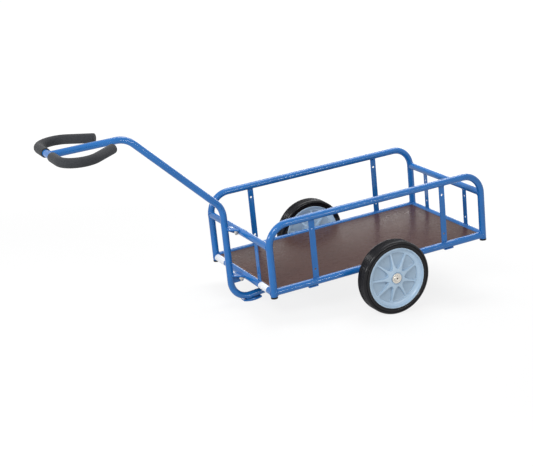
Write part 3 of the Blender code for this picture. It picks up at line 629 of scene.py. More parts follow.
def tube_ring(bm, path, index, side, radius, sides):
    """A ring round one point of a flat path, in the plane that halves the bend there."""
    point = path[index]
    into = (point - path[index - 1]).normalized() if index > 0 else None
    out = (path[index + 1] - point).normalized() if index < len(path) - 1 else None
    along = ((into or out) + (out or into)).normalized()
    across = along.cross(side).normalized()
    stretch = 1 / along.dot(out or into)
    ring = []
    for angle in around(sides):
        offset = side * math.cos(angle) + across * (math.sin(angle) * stretch)
        ring.append(bm.verts.new(point + offset * radius))
    return ring


def end_trimmed(path, edge):
    """The path with a point a short way from each end, for an eased end."""
    first = path[0] + (path[1] - path[0]).normalized() * edge
    last = path[-1] + (path[-2] - path[-1]).normalized() * edge
    return [path[0], first] + path[1:-1] + [last, path[-1]]


def tube_skins(bm, path, side):
    """Outer and inner skins of a tube with eased ends."""
    path = end_trimmed(path, TUBE_END_EDGE)
    outer_radii = [TUBE_R] * len(path)
    outer_radii[0] = outer_radii[-1] = TUBE_R - TUBE_END_EDGE
    skins = []
    for radii in (outer_radii, [TUBE_R - TUBE_WALL] * len(path)):
        rings = [tube_ring(bm, path, spot, side, radius, TUBE_SIDES) for spot, radius in enumerate(radii)]
        join_run(bm, rings)
        skins.append(rings)
    return skins


def hollow_tube(path, side):
    bm = bmesh.new()
    outer, inner = tube_skins(bm, path, Vector(side))
    for end in (0, -1):
        join_rings(bm, outer[end], inner[end])
    return bm


def coped_tube(reach):
    """A straight tube along local X with both ends cut to the given reach, for a place (y, z)."""
    bm = bmesh.new()
    skins = []
    for radius in (TUBE_R, TUBE_R - TUBE_WALL):
        ends = {-1: [], 1: []}
        for angle in around(TUBE_SIDES):
            y = radius * math.cos(angle)
            z = radius * math.sin(angle)
            for end, ring in ends.items():
                ring.append(bm.verts.new((end * reach(y, z), y, z)))
        join_rings(bm, ends[-1], ends[1])
        skins.append(ends)
    for end in (-1, 1):
        join_rings(bm, skins[0][end], skins[1][end])
    return bm


def lathe(bm, profile, sides=ROUND_SIDES, phase=0.0, closed=False):
    """Turns (radius, height) points round local Z and returns the rings; a zero radius is a pole."""
    rings = []
    for radius, height in profile:
        angles = [phase + angle for angle in around(sides)] if radius > 0 else [0]
        spots = [(radius * math.cos(angle), radius * math.sin(angle), height) for angle in angles]
        rings.append([bm.verts.new(spot) for spot in spots])
    join_run(bm, rings)
    if closed:
        join_rings(bm, rings[-1], rings[0])
    return rings


def turned(profile, sides=ROUND_SIDES, closed=False):
    bm = bmesh.new()
    lathe(bm, profile, sides, closed=closed)
    return bm


def arc(centre, radius, start, stop, steps):
    """Points (x, y) of an arc, both ends included."""
    angles = [start + (stop - start) * step / steps for step in range(steps + 1)]
    return [(centre[0] + radius * math.cos(a), centre[1] + radius * math.sin(a)) for a in angles]


def inset(loop, distance):
    """A closed anticlockwise outline moved inwards; a clockwise one, a hole's, grows."""
    moved = []
    count = len(loop)
    for index, point in enumerate(loop):
        before = Vector(point) - Vector(loop[index - 1])
        after = Vector(loop[(index + 1) % count]) - Vector(point)
        first = Vector((-before.y, before.x)).normalized()
        second = Vector((-after.y, after.x)).normalized()
        middle = (first + second).normalized()
        moved.append(Vector(point) + middle * (distance / max(middle.dot(first), MITRE_LEAST)))
    return moved


def plate(outline, holes, thickness, edge, steps=3):
    """A flat plate in local XY, even about it, with rounded edges and round holes (x, y, radius)."""
    bm = bmesh.new()
    loops = [outline]
    for x, y, radius in holes:
        loops.append(list(reversed(arc((x, y), radius, 0, 2 * math.pi, HOLE_SIDES)[:-1])))
    half = thickness / 2
    rows = [(edge * (1 - math.sin(a)), half - edge * (1 - math.cos(a))) for a in quarter(steps)]
    rows += [(distance, -height) for distance, height in reversed(rows)]
    rims = []
    for loop in loops:
        rings = []
        for distance, height in rows:
            rings.append([bm.verts.new((point.x, point.y, height)) for point in inset(loop, distance)])
        join_run(bm, rings)
        rims.append((rings[0], rings[-1]))
    for face in (0, 1):
        edges = []
        for pair in rims:
            ring = pair[face]
            edges += [bm.edges.get((ring[i - 1], ring[i])) for i in range(len(ring))]
        bmesh.ops.triangle_fill(bm, use_beauty=True, use_dissolve=False, edges=edges)
    return bm


def rectangle(half_x, half_y):
    return [(-half_x, -half_y), (half_x, -half_y), (half_x, half_y), (-half_x, half_y)]


def saddle(offset):
    """How far a round tube's surface stands off its centre line, this far to one side."""
    return math.sqrt(max(0, (TUBE_R + COPE_GAP) ** 2 - offset ** 2))


def leg_lean(z):
    """How far the hoop's centre line has moved inwards at this height, once its bend starts."""
    rise = z - (TOP_RAIL_Z - HOOP_BEND_R)
    if rise <= 0:
        return 0
    return HOOP_BEND_R - math.sqrt(HOOP_BEND_R ** 2 - rise ** 2)


def side_name(sign):
    return "left" if sign > 0 else "right"


def end_name(sign):
    return "front" if sign > 0 else "rear"


def hoop_path(sign, foot_z):
    y = sign * LEG_Y
    corners = [(-LEG_X, y, foot_z), (-LEG_X, y, TOP_RAIL_Z), (LEG_X, y, TOP_RAIL_Z), (LEG_X, y, foot_z)]
    return rounded_path(corners, [HOOP_BEND_R, HOOP_BEND_R])


# Frame

def add_hoops():
    for sign in (1, -1):
        tube = hollow_tube(hoop_path(sign, CAP_THICKNESS), (0, 1, 0))
        add_fine(f"side_hoop_{side_name(sign)}", tube)


def add_leg_caps():
    """A plug inside the tube and a rounded disc that the leg stands on."""
    plug_r = TUBE_R - TUBE_WALL - SEAT_GAP
    top = CAP_THICKNESS - SEAT_GAP
    profile = [(0, 0), (TUBE_R - CAP_EDGE, 0)]
    profile += arc((TUBE_R - CAP_EDGE, CAP_EDGE), CAP_EDGE, -math.pi / 2, 0, EDGE_STEPS)[1:]
    profile += [(TUBE_R, top), (plug_r, top), (plug_r, top + CAP_PLUG_LENGTH), (0, top + CAP_PLUG_LENGTH)]
    for end in (1, -1):
        for sign in (1, -1):
            name = f"leg_cap_{end_name(end)}_{side_name(sign)}"
            place = at(end * LEG_X, sign * LEG_Y, 0)
            add_fine(name, turned(profile, TUBE_SIDES), "cap_plastic", place=place)


def rail_reach(y, z):
    return LEG_X - saddle(y)


def bar_reach(bar_z, meets_rail):
    """Reach of a cross bar whose local Y runs outwards from the frame's end."""
    def reach(x, z):
        stand_off = saddle(x + leg_lean(bar_z + z))
        if meets_rail and x < 0:
            stand_off = max(stand_off, saddle(bar_z + z - SIDE_RAIL_Z))
        return LEG_Y - stand_off
    return reach


END_BARS = (
    ("end_bar_front_upper", 1, FRONT_UPPER_BAR_Z, False),
    ("end_bar_rear_upper", -1, REAR_UPPER_BAR_Z, False),
    ("end_bar_front_lower", 1, FRONT_LOWER_BAR_Z, True),
    ("end_bar_rear_lower", -1, REAR_LOWER_BAR_Z, True),
)


def bars():
    """Each straight bar's name, reach and place."""
    rows = []
    for sign in (1, -1):
        place = at(0, sign * LEG_Y, SIDE_RAIL_Z)
        rows.append((f"side_rail_{side_name(sign)}", rail_reach, place))
    for name, end, bar_z, meets_rail in END_BARS:
        place = at(end * LEG_X, 0, bar_z) @ Matrix.Rotation(-end * math.pi / 2, 4, "Z")
        rows.append((name, bar_reach(bar_z, meets_rail), place))
    return rows


def add_bars():
    for name, reach, place in bars():
        add_fine(name, coped_tube(reach), place=place)


def posts(gap):
    """Each flat post's name, place, height and hole insets, with this gap above and below it."""
    rows = []
    spots = [(end, sign) for end in (1, -1) for sign in (1, -1)]
    for end, sign in spots:
        place = at(end * SIDE_POST_X, sign * LEG_Y, (SIDE_RAIL_Z + TOP_RAIL_Z) / 2)
        insets = (SIDE_POST_HOLE_INSET, SIDE_POST_HOLE_INSET)
        rows.append(("side", end, sign, place @ UPRIGHT, TOP_RAIL_Z - SIDE_RAIL_Z, insets))
    for end, sign in spots:
        low, high = END_BAR_HEIGHTS[end]
        place = at(end * LEG_X, sign * END_POST_Y, (low + high) / 2)
        insets = (END_POST_LOW_HOLE_INSET, END_POST_TOP_HOLE_INSET)
        rows.append(("end", end, sign, place @ ACROSS, high - low, insets))
    found = []
    for kind, end, sign, place, height, insets in rows:
        name = f"{kind}_post_{end_name(end)}_{side_name(sign)}"
        found.append((name, place, height - 2 * (TUBE_R + gap), insets))
    return found


def add_posts():
    for name, place, height, (low_inset, high_inset) in posts(SEAT_GAP):
        holes = [(0, height / 2 - high_inset, POST_HOLE_R), (0, low_inset - height / 2, POST_HOLE_R)]
        strip = plate(rectangle(POST_WIDTH / 2, height / 2), holes, POST_THICKNESS, POST_EDGE)
        add_fine(name, strip, place=place)


# Deck

def support_top_z():
    return SIDE_RAIL_Z - TUBE_R - SEAT_GAP


def add_deck():
    """Film-faced board with eased edges that show the plywood, on two flat bars."""
    half_x = LEG_X - TUBE_R - SEAT_GAP
    half_y = LEG_Y - TUBE_R - SEAT_GAP
    board = plate(rectangle(half_x, half_y), [], BOARD_THICKNESS, BOARD_EDGE, EDGE_STEPS)
    place = at(0, 0, support_top_z() + SEAT_GAP + BOARD_THICKNESS / 2)
    piece = add_fine("deck_board", board, "deck_film", place=place)
    piece.data.materials.append(FINISHES["ply_edge"])
    for face in piece.data.polygons:
        if abs(face.normal.z) < FILM_FACE_TILT:
            face.material_index = 1
    for end in (1, -1):
        outline = rectangle(SUPPORT_WIDTH / 2, LEG_Y + SUPPORT_OVERHANG)
        place = at(end * SUPPORT_X, 0, support_top_z() - SUPPORT_THICKNESS / 2)
        bar = plate(outline, [], SUPPORT_THICKNESS, POST_EDGE)
        add_fine(f"deck_support_{end_name(end)}", bar, place=place)


# Running gear

def add_axle():
    half = WHEEL_FACE + AXLE_CAP_HEIGHT - AXLE_CAP_WALL - SEAT_GAP
    inner = AXLE_R - AXLE_CHAMFER
    profile = [(0, -half), (inner, -half), (AXLE_R, AXLE_CHAMFER - half)]
    profile += [(AXLE_R, half - AXLE_CHAMFER), (inner, half), (0, half)]
    add_fine("axle", turned(profile), "zinc", place=axle_place(1))
    low = LEG_Y + BRACKET_THICKNESS / 2 + SEAT_GAP
    high = WHEEL_MID_Y - HUB_HALF_LENGTH - RUNNING_GAP
    bore = AXLE_R + SEAT_GAP
    ease = AXLE_CHAMFER / 2
    ring = [(bore, low), (SPACER_R - ease, low), (SPACER_R, low + ease), (SPACER_R, high - ease)]
    ring += [(SPACER_R - ease, high), (bore, high)]
    for sign in (1, -1):
        side = side_name(sign)
        add_fine(f"axle_spacer_{side}", turned(ring, closed=True), "zinc", place=axle_place(sign))
        cap = add_fine(f"axle_cap_{side}", turned(axle_cap_profile(half)), "zinc", place=axle_place(sign))
        # The dimple gets a dark finish as painted shade
        paint_dimple_shade(cap, half + DIMPLE_CLEAR)
        place = at(0, sign * LEG_Y, AXLE_Z) @ UPRIGHT
        hanger = plate(bracket_outline(), [(0, 0, bore)], BRACKET_THICKNESS, POST_EDGE)
        add_fine(f"axle_bracket_{side}", hanger, place=place)


def axle_place(sign, y=0.0):
    """A place on the axle's line, with local Z along the axle towards one side."""
    return at(0, y, AXLE_Z) @ Matrix.Rotation(-sign * math.pi / 2, 4, "X")


def paint_dimple_shade(cap, inside):
    """Painted shade: a dark finish on the faces near the cap's centre that lie further out than the axle's
    end, for the shade in the dimple.
    """
    cap.data.materials.append(FINISHES["cap_plastic"])
    middle = CART @ Vector((0, 0, AXLE_Z))
    for face in cap.data.polygons:
        spot = face.center + cap.location
        if math.hypot(spot.x - middle.x, spot.z - middle.z) < DIMPLE_SHADE_R and abs(spot.y) > inside:
            face.material_index = 1


def bracket_outline():
    """Plate under the rail that narrows to an eye round the axle; local Y is height from the axle."""
    top = support_top_z() - AXLE_Z
    slope = math.atan2(top, BRACKET_TOP_HALF - BRACKET_EYE_R)
    start = math.pi / 2 + slope
    eye = arc((0, 0), BRACKET_EYE_R, start, start + 2 * math.pi - 2 * slope, EYE_STEPS)
    keep = [point for point in eye if point[1] < top - BRACKET_THICKNESS / 2]
    return [(BRACKET_TOP_HALF, top), (-BRACKET_TOP_HALF, top)] + keep


def axle_cap_profile(axle_end):
    """Pressed cap: a flat brim, a raised middle with a faint ring and a dimple at its centre."""
    face = WHEEL_FACE
    crown = face + AXLE_CAP_HEIGHT
    brim = face + AXLE_CAP_FLANGE
    ease = AXLE_CAP_FLANGE / 3
    step_r = AXLE_CAP_DOME_R - AXLE_CAP_WALL
    ring_r = (DIMPLE_R + step_r) * AXLE_CAP_RING_PLACE
    bore = AXLE_R + SEAT_GAP
    roof = axle_end + SEAT_GAP
    floor = crown - DIMPLE_DEPTH
    profile = [(0, floor), (DIMPLE_R / 2, floor), (DIMPLE_R, crown - ease / 2), (DIMPLE_R + ease, crown)]
    profile += [(ring_r - ease, crown), (ring_r, crown - ease), (ring_r + ease, crown)]
    profile += [(step_r - ease, crown), (step_r, crown - ease / 2), (AXLE_CAP_DOME_R, brim + ease)]
    profile += [(AXLE_CAP_DOME_R + ease, brim), (AXLE_CAP_R - ease, brim), (AXLE_CAP_R, brim - ease)]
    profile += [(AXLE_CAP_R, face), (bore, face), (bore, roof), (0, roof)]
    return profile


# Wheels

def rib_top(radius):
    """Height of a rib's crest: it falls evenly from the hub to the ledge."""
    share = (radius - HUB_RING_R) / (RIM_R - LEDGE_INSET - HUB_RING_R)
    hub = HUB_HALF_LENGTH - HUB_RING_STEP
    ledge = RIM_HALF_WIDTH - LEDGE_DEPTH
    return hub + (ledge - hub) * share


def rib_half(radius):
    """Half width of a rib: thin at its tip, with a slow flare and a quick one next to the hub."""
    share = (RIM_R - POCKET_INSET - radius) / (RIM_R - POCKET_INSET - NOTCH_R)
    return RIB_HALF_TIP + RIB_SLOW_FLARE * share ** 2 + RIB_QUICK_FLARE * share ** RIB_QUICK_POWER


def pocket_outline():
    """Top edge of one pocket, its middle line along +X, point for point with its sector's border."""
    half_sector = math.pi / RIB_COUNT
    outer_r = RIM_R - POCKET_INSET
    corner_r = outer_r - POCKET_CORNER_R
    corner_angle = half_sector - math.asin((rib_half(corner_r) + POCKET_CORNER_R) / corner_r)
    across = Vector((-math.sin(half_sector), math.cos(half_sector)))
    centre = Vector((math.cos(corner_angle), math.sin(corner_angle))) * corner_r
    side_end = (centre + across * POCKET_CORNER_R).length
    count = ARC_STEPS + SIDE_STEPS - POCKET_CORNER_STEPS - POCKET_RIM_STEPS
    upper = []
    for step in range(count + 1):
        radius = NOTCH_R + (side_end - NOTCH_R) * (step / count) ** POCKET_SPACING
        sine = min(rib_half(radius) / radius, math.sin(half_sector))
        angle = half_sector - math.asin(sine)
        upper.append((radius * math.cos(angle), radius * math.sin(angle)))
    turn_from = half_sector + math.pi / 2
    upper += arc(centre, POCKET_CORNER_R, turn_from, corner_angle, POCKET_CORNER_STEPS)[1:]
    upper += arc((0, 0), outer_r, corner_angle, 0, POCKET_RIM_STEPS)[1:]
    return mirrored(upper)


def mirrored(upper):
    """The whole outline of which this is the half above the X axis, from the hub outwards."""
    lower = [(x, -y) for x, y in reversed(upper[1:-1])]
    return [Vector(point) for point in upper + lower][::-1]


def sector_border():
    """Border of one pocket's sector, from the hub's ring to the ledge."""
    half_sector = math.pi / RIB_COUNT
    outer_r = RIM_R - LEDGE_INSET
    upper = arc((0, 0), HUB_RING_R, 0, half_sector, ARC_STEPS // 2)
    span = outer_r - HUB_RING_R
    for step in range(1, SIDE_STEPS + 1):
        radius = HUB_RING_R + span * step / SIDE_STEPS
        upper.append((radius * math.cos(half_sector), radius * math.sin(half_sector)))
    upper += arc((0, 0), outer_r, half_sector, 0, ARC_STEPS // 2)[1:]
    return mirrored(upper)


def drafted(outline, distance):
    """The outline moved inwards; where its two sides would cross by the hub they meet in one apex."""
    moved = inset(outline, distance)
    apart = [after.y * before.y > 0 or before.x > RIM_R / 2 for before, after in zip(outline, moved)]
    apex = min(after.x for after, clear in zip(moved, apart) if clear)
    return [after if clear else Vector((apex, 0)) for after, clear in zip(moved, apart)]


def pocket_rows():
    """Rows of (point, height) from a sector's border over the crest and down to the pocket's floor."""
    outline = pocket_outline()
    rows = []
    for share in CREST_SHARES:
        loop = [own.lerp(edge, share) for own, edge in zip(outline, sector_border())]
        rows.append([(point, rib_top(point.length)) for point in loop])
    rows.append([(point, rib_top(point.length) - CREST_DROP) for point in outline])
    for distance, drop in CREST_EDGE:
        rows.append([(point, rib_top(point.length) - drop) for point in drafted(outline, distance)])
    for distance, rise in POCKET_FILLET:
        inner = drafted(outline, RIB_DRAFT + distance)
        rows.append([(point, POCKET_FLOOR + rise) for point in inner])
    middle = sum(inner, Vector((0, 0))) / len(inner)
    for share in FLOOR_SHARES:
        rows.append([(point.lerp(middle, share), POCKET_FLOOR) for point in inner])
    return rows + [[(middle, POCKET_FLOOR)]]


def rim_face(bm, side, phase):
    """One face of the wheel centre: nine pockets with drafted walls between flaring ribs."""
    rows = pocket_rows()
    for index in range(RIB_COUNT):
        turn = Matrix.Rotation(phase + (2 * index + 1) * math.pi / RIB_COUNT, 2)
        rings = []
        for row in rows:
            spots = [(*(turn @ point), side * height) for point, height in row]
            rings.append([bm.verts.new(spot) for spot in spots])
        join_run(bm, rings)


def rim_rings():
    """Hub face inside the ribs and barrel outside them, as (radius, height) points of one side."""
    hub = HUB_HALF_LENGTH
    bore = AXLE_R + RUNNING_GAP
    ease = HUB_EDGE
    groove = hub - HUB_GROOVE_DEPTH
    step = hub - HUB_RING_STEP
    inner = [(bore, hub - ease), (bore + ease, hub), (HUB_GROOVE_INNER, hub)]
    inner += [(HUB_GROOVE_INNER + ease, groove), (HUB_GROOVE_OUTER - ease, groove), (HUB_GROOVE_OUTER, hub)]
    inner += [(HUB_RING_R - 3 * ease, hub), (HUB_RING_R - 2 * ease, hub - ease)]
    inner += [(HUB_RING_R - ease, step), (HUB_RING_R, step)]
    ledge = RIM_R - LEDGE_INSET
    low = RIM_HALF_WIDTH - LEDGE_DEPTH
    wall_r = RIM_R - RIM_LIP_WIDTH - RIM_LIP_EDGE
    rise = LEDGE_DEPTH - RIM_LIP_DROP
    outer = []
    for angle in quarter(BARREL_STEPS):
        outer.append((ledge + (wall_r - ledge) * math.sin(angle), low + rise * (1 - math.cos(angle))))
    lip_z = RIM_HALF_WIDTH - RIM_LIP_EDGE
    outer += arc((wall_r + RIM_LIP_EDGE, lip_z), RIM_LIP_EDGE, math.pi, math.pi / 2, EDGE_STEPS)
    outer += arc((RIM_R - RIM_LIP_EDGE, lip_z), RIM_LIP_EDGE, math.pi / 2, 0, EDGE_STEPS)
    return inner, outer


def rim(phase):
    """The whole wheel centre: its hub face, barrel and ribs on both sides."""
    bm = bmesh.new()
    inner, outer = rim_rings()
    bores, barrels = [], []
    for side in (1, -1):
        for run, found in ((inner, bores), (outer, barrels)):
            points = [(radius, side * height) for radius, height in run]
            found.append(lathe(bm, points, RIB_COUNT * ARC_STEPS, phase + math.pi / RIB_COUNT))
        rim_face(bm, side, phase)
    join_rings(bm, bores[0][0], bores[1][0])
    join_rings(bm, barrels[0][-1], barrels[1][-1])
    bmesh.ops.remove_doubles(bm, verts=bm.verts, dist=JOIN_DISTANCE)
    return bm


def tyre_profile():
    """Closed section of the solid tyre: ribs round its tread and a fine groove in each wall."""
    seat = RIM_R + SEAT_GAP
    outer = RIM_R + TYRE_THICKNESS
    half = TYRE_HALF_WIDTH
    bead = half - TYRE_BEAD_DEPTH
    wall_start = seat + TYRE_BEAD_HEIGHT + TYRE_BEAD_DEPTH
    side = [(seat, bead - TYRE_BEAD_EDGE), (seat + TYRE_BEAD_EDGE, bead), (seat + TYRE_BEAD_HEIGHT, bead)]
    side += [(wall_start - TYRE_WALL_EASE, half - TYRE_WALL_DROP), (wall_start, half)]
    groove = seat + WALL_GROOVE
    floor = half - GROOVE_DEPTH / 2
    side += [(groove - GROOVE_HALF, half), (groove - GROOVE_HALF / 3, floor)]
    side += [(groove + GROOVE_HALF / 3, floor), (groove + GROOVE_HALF, half)]
    shoulder = (outer - TYRE_SHOULDER_R, half - TYRE_SHOULDER_R)
    side += arc(shoulder, TYRE_SHOULDER_R, math.pi / 2, TYRE_SHOULDER_END, TYRE_SHOULDER_STEPS)
    floor = outer - GROOVE_DEPTH
    for groove, after in zip(TREAD_GROOVES, TREAD_GROOVES[1:] + (-TREAD_GROOVES[-1],)):
        high = groove - GROOVE_HALF
        width = high - after - GROOVE_HALF
        side += [(outer - TREAD_CROWN / 2, groove + GROOVE_HALF), (floor, groove + GROOVE_HALF / 2)]
        side += [(floor, groove - GROOVE_HALF / 2), (outer - TREAD_CROWN, high)]
        for share in [step / TREAD_STEPS for step in range(1, TREAD_STEPS)]:
            if high - width * share > 0:
                side.append((outer - TREAD_CROWN * (2 * share - 1) ** 2, high - width * share))
    return side + [(radius, -height) for radius, height in reversed(side)]


def add_wheels():
    for sign, phase in ((1, LEFT_RIB_PHASE), (-1, RIGHT_RIB_PHASE)):
        side = side_name(sign)
        place = axle_place(sign, sign * WHEEL_MID_Y)
        body = f"wheel_{side}"
        add_fine(f"rim_{side}", rim(phase), "rim_plastic", body, place, sharp=50)
        tyre = turned(tyre_profile(), TYRE_SIDES, closed=True)
        add_fine(f"tyre_{side}", tyre, "tyre_rubber", body, place, sharp=30)


# Drawbar

def tail_angle():
    """Rise of the tail towards the rear, so that it passes just under the axle."""
    reach = math.hypot(DRAWBAR_X, AXLE_Z - DRAWBAR_FOOT_CORNER_Z)
    stand_off = AXLE_R + SEAT_GAP + TUBE_R
    return math.atan2(AXLE_Z - DRAWBAR_FOOT_CORNER_Z, DRAWBAR_X) - math.asin(stand_off / reach)


def foot_centre():
    angle = tail_angle()
    z = DRAWBAR_FOOT_CORNER_Z + DRAWBAR_FOOT_R * (math.tan(angle) + 1 / math.cos(angle))
    return DRAWBAR_X - DRAWBAR_FOOT_R, z


def drawbar_path():
    """From the handle back and down the slope, down the upright, round the foot and to the axle."""
    rise = math.tan(DRAWBAR_SLOPE_ANGLE)
    knee = (DRAWBAR_SLOPE_X + (HANDLE_Z - DRAWBAR_SLOPE_Z) / rise, 0, HANDLE_Z)
    hip = (DRAWBAR_X, 0, DRAWBAR_SLOPE_Z + (DRAWBAR_X - DRAWBAR_SLOPE_X) * rise)
    foot = (DRAWBAR_X, 0, DRAWBAR_FOOT_CORNER_Z)
    tail_z = DRAWBAR_FOOT_CORNER_Z + math.tan(tail_angle()) * (DRAWBAR_X + DRAWBAR_TAIL_OVERRUN)
    corners = [(HANDLE_X, 0, HANDLE_Z), knee, hip, foot, (-DRAWBAR_TAIL_OVERRUN, 0, tail_z)]
    return rounded_path(corners, [DRAWBAR_KNEE_R, DRAWBAR_BEND_R, DRAWBAR_FOOT_R])


def add_drawbar():
    """The bent bar; its front end is cut to fit round the handle."""
    bm = bmesh.new()
    skins = tube_skins(bm, drawbar_path(), Vector((0, 1, 0)))
    for rings in skins:
        for spot in (0, 1):
            for vertex in rings[spot]:
                offset = vertex.co.z - HANDLE_Z
                vertex.co.x = HANDLE_X - saddle(offset) - spot * 2 * TUBE_END_EDGE
    for vertex in skins[0][0]:
        away = Vector((0, vertex.co.y, vertex.co.z - HANDLE_Z)).normalized()
        vertex.co = Vector((vertex.co.x, 0, HANDLE_Z)) + away * TUBE_R
    for end in (0, -1):
        join_rings(bm, skins[0][end], skins[1][end])
    add_fine("drawbar", bm)


def add_gusset(name, bar_z, rise, web_at_tube, web_at_bar):
    """Sloping plate over an upright web, each cut to fit round the upright and the bar."""
    rear_z = bar_z + rise
    run = math.hypot(GUSSET_FALL, DRAWBAR_X - LEG_X)
    drop = GUSSET_PLATE / 2
    bar_cut = math.sqrt((TUBE_R + SEAT_GAP) ** 2 - (rise - drop) ** 2) / math.cos(GUSSET_SLOPE)
    notch = arc((run, 0), TUBE_R + SEAT_GAP, math.pi / 2, 1.5 * math.pi, NOTCH_STEPS)
    half_at_cut = GUSSET_HALF_AT_BAR + (GUSSET_HALF_AT_TUBE - GUSSET_HALF_AT_BAR) * bar_cut / run
    outline = [(bar_cut, -half_at_cut), (run, -GUSSET_HALF_AT_TUBE)]
    outline += [(x, -y) for x, y in notch] + [(run, GUSSET_HALF_AT_TUBE), (bar_cut, half_at_cut)]
    place = at(LEG_X, 0, rear_z - drop) @ Matrix.Rotation(-GUSSET_SLOPE, 4, "Y")
    add_fine("drawbar_bracket_" + name, plate(outline, [], GUSSET_PLATE, GUSSET_EDGE), place=place)
    front_x = DRAWBAR_X - TUBE_R - SEAT_GAP
    bite_x = LEG_X + TUBE_R - GUSSET_WEB_BITE
    share = (front_x - bite_x) / (DRAWBAR_X - bite_x)
    front_low = bar_z + web_at_bar + (web_at_tube - web_at_bar) * share
    front_high = rear_z + GUSSET_FALL - drop - (DRAWBAR_X - front_x) * math.tan(GUSSET_SLOPE)
    start = math.asin((rise - drop) / TUBE_R)
    stop = math.asin(min(1, max(web_at_bar, -TUBE_R) / TUBE_R))
    round_bar = arc((LEG_X, bar_z), TUBE_R + SEAT_GAP, start, stop, NOTCH_STEPS // 2)
    web = [(front_x, front_low), (front_x, front_high)] + round_bar
    web.append((max(round_bar[-1][0], bite_x), bar_z + web_at_bar))
    upright_plate = plate(web, [], GUSSET_WEB, GUSSET_EDGE)
    add_piece("web_drawbar_bracket_" + name, upright_plate, "blue_paint", place=UPRIGHT)


def add_bolts():
    """Washer, nut and bolt end under each side of a gusset plate, close in front of the bar."""
    for name, bar_z, rise, web_at_tube, web_at_bar in GUSSETS:
        top = bar_z + rise + (BOLT_X - LEG_X) * math.tan(GUSSET_SLOPE)
        for sign in (1, -1):
            place = at(BOLT_X, sign * BOLT_Y, top) @ Matrix.Rotation(-GUSSET_SLOPE, 4, "Y")
            add_piece(f"gusset_bolt_{name}_{side_name(sign)}", bolt(), "zinc", place=place, sharp=30)


def bolt():
    """A bolt through the plate: washer, nut and the thread's end below it."""
    bm = bmesh.new()
    top = -GUSSET_PLATE - BOLT_GAP
    low = -GUSSET_PLATE - WASHER_THICKNESS
    washer = [(BOLT_R, top), (WASHER_R, top), (WASHER_R, low), (BOLT_R, low)]
    lathe(bm, washer, BOLT_SIDES, closed=True)
    flat = NUT_ACROSS_FLATS / 2
    corner = flat / math.cos(math.pi / 6)
    nut_low = low - NUT_HEIGHT
    nut = [(BOLT_R, low - BOLT_GAP), (flat, low - BOLT_GAP), (corner, low - NUT_CHAMFER)]
    nut += [(corner, nut_low + NUT_CHAMFER), (flat, nut_low), (BOLT_R, nut_low)]
    lathe(bm, nut, 6, closed=True)
    tip = nut_low - BOLT_TAIL
    root_r = BOLT_R - THREAD_DEPTH
    thread = [(0, tip), (BOLT_R - NUT_CHAMFER, tip)]
    for index in range(THREAD_TURNS):
        high = tip + NUT_CHAMFER + (BOLT_TAIL + NUT_HEIGHT) * index / THREAD_TURNS
        thread += [(BOLT_R - THREAD_EASE, high), (root_r, high + THREAD_CREST)]
    thread += [(BOLT_R - THREAD_CREST, low - 2 * THREAD_EASE), (0, low - 2 * THREAD_EASE)]
    lathe(bm, thread, BOLT_SIDES)
    return bm


def skid_centre():
    x, z = foot_centre()
    lowest = z - DRAWBAR_FOOT_R - TUBE_R - SKID_STAND_OFF
    return x - SKID_SET_BACK, lowest + SKID_INNER_R


def skid_run(radius, first_x, last_x):
    """Points along the skid from one reach to another, counted forwards of its centre."""
    x, z = skid_centre()
    first = math.asin(first_x / radius)
    last = math.asin(last_x / radius)
    angles = [first + (last - first) * step / SKID_STEPS for step in range(SKID_STEPS + 1)]
    return [(x + radius * math.sin(angle), z - radius * math.cos(angle)) for angle in angles]


def weld_pad():
    """Top of the skid's middle, which meets the tube's bend and the start of its tail."""
    x, z = foot_centre()
    radius = DRAWBAR_FOOT_R + TUBE_R + SEAT_GAP
    slope = tail_angle()
    front = 1.5 * math.pi + math.asin(PAD_FRONT_REACH / radius)
    pad = arc((x, z), radius, front, 1.5 * math.pi, SKID_STEPS)[:-1]
    tangent = (x - radius * math.sin(slope), z - radius * math.cos(slope))
    rear_x = tangent[0] - PAD_REAR_REACH * math.cos(slope)
    return pad + [tangent, (rear_x, tangent[1] + PAD_REAR_REACH * math.sin(slope))]


def add_skid():
    """Bent flat strip that the cart rests on, its middle up against the tube."""
    pad = weld_pad()
    x = skid_centre()[0]
    outline = skid_run(SKID_INNER_R + SKID_THICKNESS, -SKID_REAR_REACH, SKID_FRONT_REACH)
    outline += skid_run(SKID_INNER_R, SKID_FRONT_REACH, pad[0][0] - x)
    outline += pad
    outline += skid_run(SKID_INNER_R, pad[-1][0] - x, -SKID_REAR_REACH)
    add_fine("skid", plate(outline, [], 2 * SKID_HALF_WIDTH, SKID_EDGE), place=UPRIGHT)


def add_tail_bracket():
    """Folded bracket round the tail, open above, that the axle passes through."""
    inner = TUBE_R + SEAT_GAP
    outer = inner + CRADLE_WALL
    floor = -(AXLE_R + SEAT_GAP + TUBE_R) - inner
    outline = [(inner, CRADLE_RISE), (inner, floor), (-inner, floor), (-inner, CRADLE_RISE)]
    outline.append((-outer, CRADLE_RISE))
    outline += arc((-inner, floor), CRADLE_WALL, math.pi, 1.5 * math.pi, CRADLE_BEND_STEPS)
    outline += arc((inner, floor), CRADLE_WALL, 1.5 * math.pi, 2 * math.pi, CRADLE_BEND_STEPS)
    outline.append((outer, CRADLE_RISE))
    place = at(0, 0, AXLE_Z) @ Matrix.Rotation(tail_angle(), 4, "Y") @ ACROSS
    folded = plate(outline, [], 2 * CRADLE_HALF_LENGTH, CRADLE_EDGE)
    add_fine("tail_bracket", folded, place=place)


# Handle

def handle_corner():
    return HANDLE_HALF_STRAIGHT + HANDLE_BEND_R * math.tan(HANDLE_TURN / 2)


